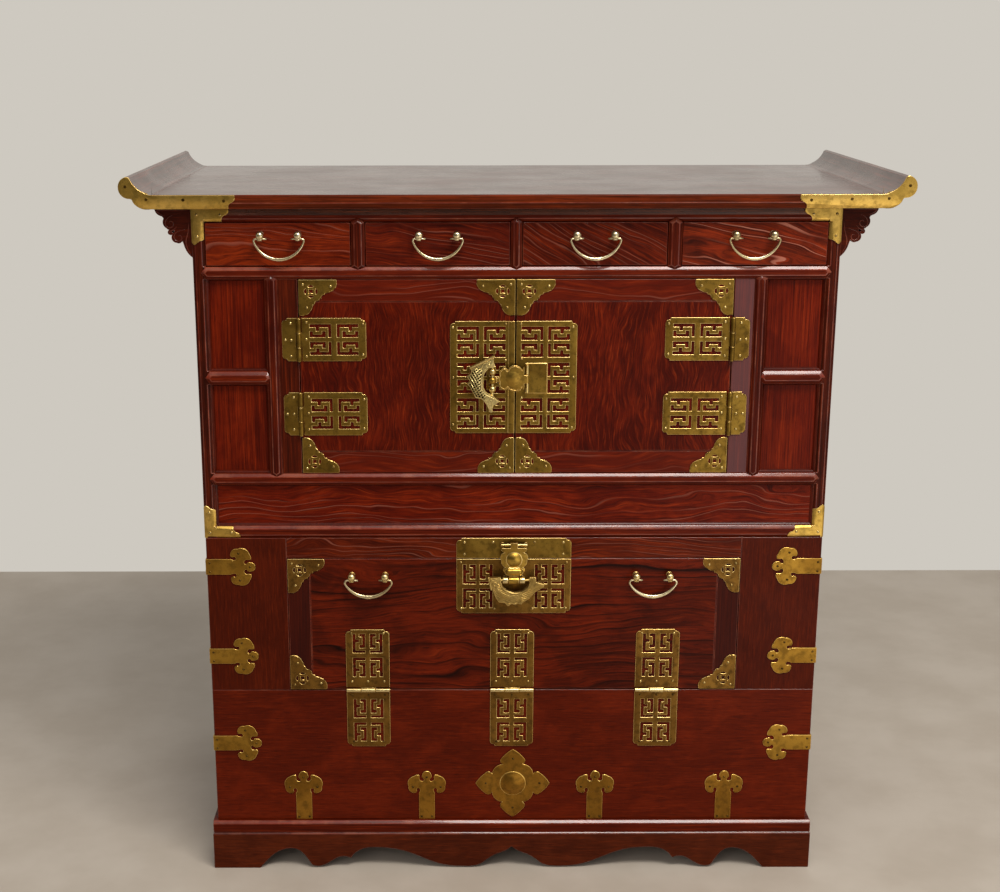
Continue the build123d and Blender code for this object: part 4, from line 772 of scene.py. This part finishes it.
LOW_BODY = [(-24.6, 391.8), (-21.6, 382.6), (-18.2, 377.4), (-11.0, 376.2), (-7.4, 372.6), (-2.8, 375.4), (1.2, 373.8), (5.0, 375.8),
            (9.0, 374.2), (11.4, 377.0), (18.4, 382.2), (24.4, 389.6), (20.0, 394.4), (16.4, 393.6), (10.8, 388.4), (1.0, 386.4), (-9.2, 389.0),
            (-15.4, 394.4), (-17.6, 401.0), (-22.6, 400.4)]
low = lattice(LOW_BODY, FISH_Y, 20, 2.2, 0.42) + lattice(LOW_BODY, FISH_Y, -58, 5.2, 0.28)
low += [
    loop([(-17.4, 407.6), (-17.3, 402.0), (-15.2, 395.6), (-8.9, 390.1), (1.0, 387.4), (11.2, 389.6), (18.0, 396.0), (19.8, 401.4), (22.8, 406.0), (26.8, 408.2)],
         FISH_Y - 0.1, 1.05),
    loop([(-29.4, 407.2), (-25.6, 404.2), (-21.0, 406.8)], FISH_Y, 0.6),
    loop([(-27.6, 398.6), (-24.8, 402.2), (-20.6, 400.0), (-20.0, 394.6)], FISH_Y, 0.6),
    loop([(36.4, 399.2), (29.4, 400.2), (24.6, 396.6)], FISH_Y, 0.55),
    loop([(36.2, 396.8), (29.8, 394.4), (24.6, 391.6)], FISH_Y, 0.5),
]
eye_low = [nail(P(-24.6, FISH_Y, 397.4), FRONT, 1.5, 1.0)]
piece("front_fish_carving", *join(low + eye_low), "flap_lock", low_fish, "brass_locks")

# bails: thin where they turn in, swelling towards the middle, with a small collar there --------------
def swell(x, z, spread, half, drop, mid_r, y=-9.5, rod=1.5):
    end, bend = spread / 2 - 8.0, spread / 2 + 5.0
    r = half - rod - bend
    c = (bend ** 2 + r * r - (drop - r) ** 2) / (2 * (drop - 2 * r))
    d = math.atan2(-r - c, bend)
    pts = [(end, 0.0), (end + 0.4 * (bend - end), 0.0), (end + 0.8 * (bend - end), 0.0)]
    for i in range(10):
        a = math.pi / 2 + (d - math.pi / 2) * i / 9
        pts.append((bend + r * math.cos(a), -r + r * math.sin(a)))
    big = drop + c
    a0 = math.atan2(pts[-1][1] - c, pts[-1][0])
    for i in range(1, 25):
        a = a0 + (-math.pi / 2 - a0) * i / 24
        pts.append((big * math.cos(a), c + big * math.sin(a)))
    pts = pts + [(-u, w) for u, w in reversed(pts[:-1])]
    n, m = len(pts), 14
    far = [0.0]
    for i in range(1, n):
        far.append(far[-1] + math.hypot(pts[i][0] - pts[i - 1][0], pts[i][1] - pts[i - 1][1]))
    verts, faces = [], []
    for i, (u, w) in enumerate(pts):
        a, b = pts[max(i - 1, 0)], pts[min(i + 1, n - 1)]
        tu, tw = b[0] - a[0], b[1] - a[1]
        k = math.hypot(tu, tw)
        nu, nw = -tw / k, tu / k
        s = math.sin(math.pi * far[i] / far[-1])
        from_mid = abs(far[i] - far[-1] / 2)
        wide = 1.15 + (mid_r - 1.15) * s ** 3
        deep = 1.15 + 0.45 * s ** 3
        if from_mid < 3.6:
            wide, deep = wide * 1.10, deep * 1.16
        for j in range(m):
            t = 2 * math.pi * j / m
            verts.append(P(x + u + nu * wide * math.cos(t), y + deep * math.sin(t), z + w + nw * wide * math.cos(t)))
    for i in range(n - 1):
        for j in range(m):
            l = (j + 1) % m
            faces.append((i * m + j, i * m + l, (i + 1) * m + l, (i + 1) * m + j))
    faces.append(tuple(reversed(range(m))))
    faces.append(tuple(range((n - 1) * m, n * m)))
    return verts, faces


for i, x in enumerate((-282.5, -93.7, 94.1, 283.0)):
    o = piece(f"drawer_{i + 1}_swelled_bail", *swell(x, 831.4, 45.0, 31.3, 24.5, 2.05), f"drawer_{i + 1}_bail", handles, "brass_handles")
    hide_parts(f"drawer_{i + 1}_bail")
for side, x in (("left", -183.0), ("right", 175.0)):
    o = piece(f"front_swelled_bail_{side}", *swell(x, 402.8, 42.0, 31.0, 22.3, 2.35), f"flap_bail_{side}", handles, "brass_handles")
    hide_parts(f"front_bail_{side}")

# rims on the hasps ---------------------------------------------------------------
hasp_rim = [(7.4, 650.8), (5.2, 648.2), (-0.4, 647.2), (-6.2, 648.4), (-9.4, 651.8), (-13.2, 649.0), (-17.0, 650.6), (-19.0, 653.0),
            (-18.6, 657.0), (-19.6, 661.2), (-18.6, 666.0), (-19.0, 668.8), (-17.2, 671.2), (-13.6, 673.6), (-9.6, 670.4), (-6.2, 674.8),
            (-0.4, 676.6), (4.8, 674.8), (7.6, 671.4)]
# the rim is drawn in the bright edge brass: wear and painted highlight
piece("door_hasp_rim", *tube([P(x, -10.0, z) for x, z in smooth_path(hasp_rim, 4)], 0.42, 6), "door_hasp", mount_edge_wear_and_highlight, "brass_mounts")

# ---------------------------------------------------------------------------
# floor, light, camera
# ---------------------------------------------------------------------------
me = bpy.data.meshes.new("floor")
me.from_pydata([(-4, -3.6, 0), (4, -3.6, 0), (4, 0.98, 0), (-4, 0.98, 0)], [], [(0, 1, 2, 3)])
floor = bpy.data.objects.new("floor", me)
bpy.context.scene.collection.objects.link(floor)
fm = Mat("pale_floor")
speck = fm.noise(fm.scaled(fm.co, (6.0, 6.0, 6.0)), 1.0, 4.0, 0.6)
fm.finish(fm.mix(fm.span(speck, 0.3, 0.7), lin(178, 166, 152), lin(190, 179, 166)), 0.55)
me.materials.append(fm.m)

world = bpy.data.worlds.new("studio")
bpy.context.scene.world = world
world.use_nodes = True
wt = world.node_tree
wt.nodes.clear()
wo = wt.nodes.new("ShaderNodeOutputWorld")
lp = wt.nodes.new("ShaderNodeLightPath")


def backdrop(color, strength):
    n = wt.nodes.new("ShaderNodeBackground")
    n.inputs[0].default_value = color
    n.inputs[1].default_value = strength
    return n


def ramp(value, lo, hi, to_lo, to_hi):
    n = wt.nodes.new("ShaderNodeMapRange")
    n.interpolation_type = "SMOOTHSTEP"
    wt.links.new(value, n.inputs["Value"])
    n.inputs["From Min"].default_value = lo
    n.inputs["From Max"].default_value = hi
    n.inputs["To Min"].default_value = to_lo
    n.inputs["To Max"].default_value = to_hi
    return n.outputs[0]


def wmath(op, x, y):
    n = wt.nodes.new("ShaderNodeMath")
    n.operation = op
    for i, v in enumerate((x, y)):
        if isinstance(v, bpy.types.NodeSocket):
            wt.links.new(v, n.inputs[i])
        else:
            n.inputs[i].default_value = v
    return n.outputs[0]


def wmix(f, x, y):
    n = wt.nodes.new("ShaderNodeMixShader")
    wt.links.new(f, n.inputs[0])
    wt.links.new(x, n.inputs[1])
    wt.links.new(y, n.inputs[2])
    return n.outputs[0]


# what the polished surfaces mirror: a pale wall behind, a dim room in front with a window to the right, a light ceiling
way = wt.nodes.new("ShaderNodeSeparateXYZ")
wt.links.new(wt.nodes.new("ShaderNodeTexCoord").outputs["Generated"], way.inputs[0])
wx, wy, wz = way.outputs[0], way.outputs[1], way.outputs[2]
behind = ramp(wy, -0.12, 0.12, 0.0, 1.0)
ceiling = ramp(wz, 0.35, 0.75, 0.0, 1.15)
window = wmath("MULTIPLY", ramp(wx, 0.02, 0.30, 0.0, 0.85), ramp(wz, -0.42, -0.05, 0.15, 1.0))
room = wmath("ADD", wmath("ADD", 0.14, window), ceiling)
mirrored = backdrop(lin(206, 201, 192), 1.0)
wt.links.new(wmath("ADD", wmath("MULTIPLY", behind, 1.0), wmath("MULTIPLY", wmath("SUBTRACT", 1.0, behind), room)), mirrored.inputs[1])
seen = backdrop(lin(206, 201, 192), 1.0)
lit = backdrop(lin(238, 236, 232), 0.42)
wt.links.new(wmix(lp.outputs["Is Camera Ray"], wmix(lp.outputs["Is Diffuse Ray"], mirrored.outputs[0], lit.outputs[0]), seen.outputs[0]),
             wo.inputs[0])


def area(name, loc, target, size, energy, color=(1, 1, 1), size_y=None):
    l = bpy.data.lights.new(name, "AREA")
    l.energy = energy
    l.color = color
    l.shape = "RECTANGLE"
    l.size = size
    l.size_y = size_y or size
    o = bpy.data.objects.new(name, l)
    o.location = loc
    o.rotation_mode = "QUATERNION"
    o.rotation_quaternion = (Vector(target) - Vector(loc)).to_track_quat("-Z", "Y")
    bpy.context.scene.collection.objects.link(o)
    return o


area("key", (0.62, -1.45, 2.70), (0.05, -0.1, 0.55), 1.5, 60.0, (1.0, 0.97, 0.92), 0.7)
fill = area("fill", (-1.3, -2.7, 1.5), (0, 0, 0.5), 1.6, 18.0, (1.0, 0.98, 0.96))
fill.visible_glossy = False
low = area("low_panel", (0.80, -1.10, 0.33), (0.80, -0.53, 1.15), 1.15, 3.5, (1.0, 0.96, 0.88), 1.08)
low.visible_camera = False

cam = bpy.data.cameras.new("camera")
cam.lens = 56.06
cam.sensor_width = 36.0
cam.shift_x = 0.0452
cam.shift_y = 0.0
cam.clip_start = 0.05
cam_o = bpy.data.objects.new("camera", cam)
cam_o.matrix_world = (Matrix.Translation((-0.07395, -2.0457, 1.0663))
                      @ Matrix.Rotation(math.radians(75.174), 4, "X") @ Matrix.Rotation(math.radians(-0.095), 4, "Z"))
bpy.context.scene.collection.objects.link(cam_o)
bpy.context.scene.camera = cam_o
bpy.context.scene.view_settings.view_transform = "Standard"

bpy.context.view_layer.update()
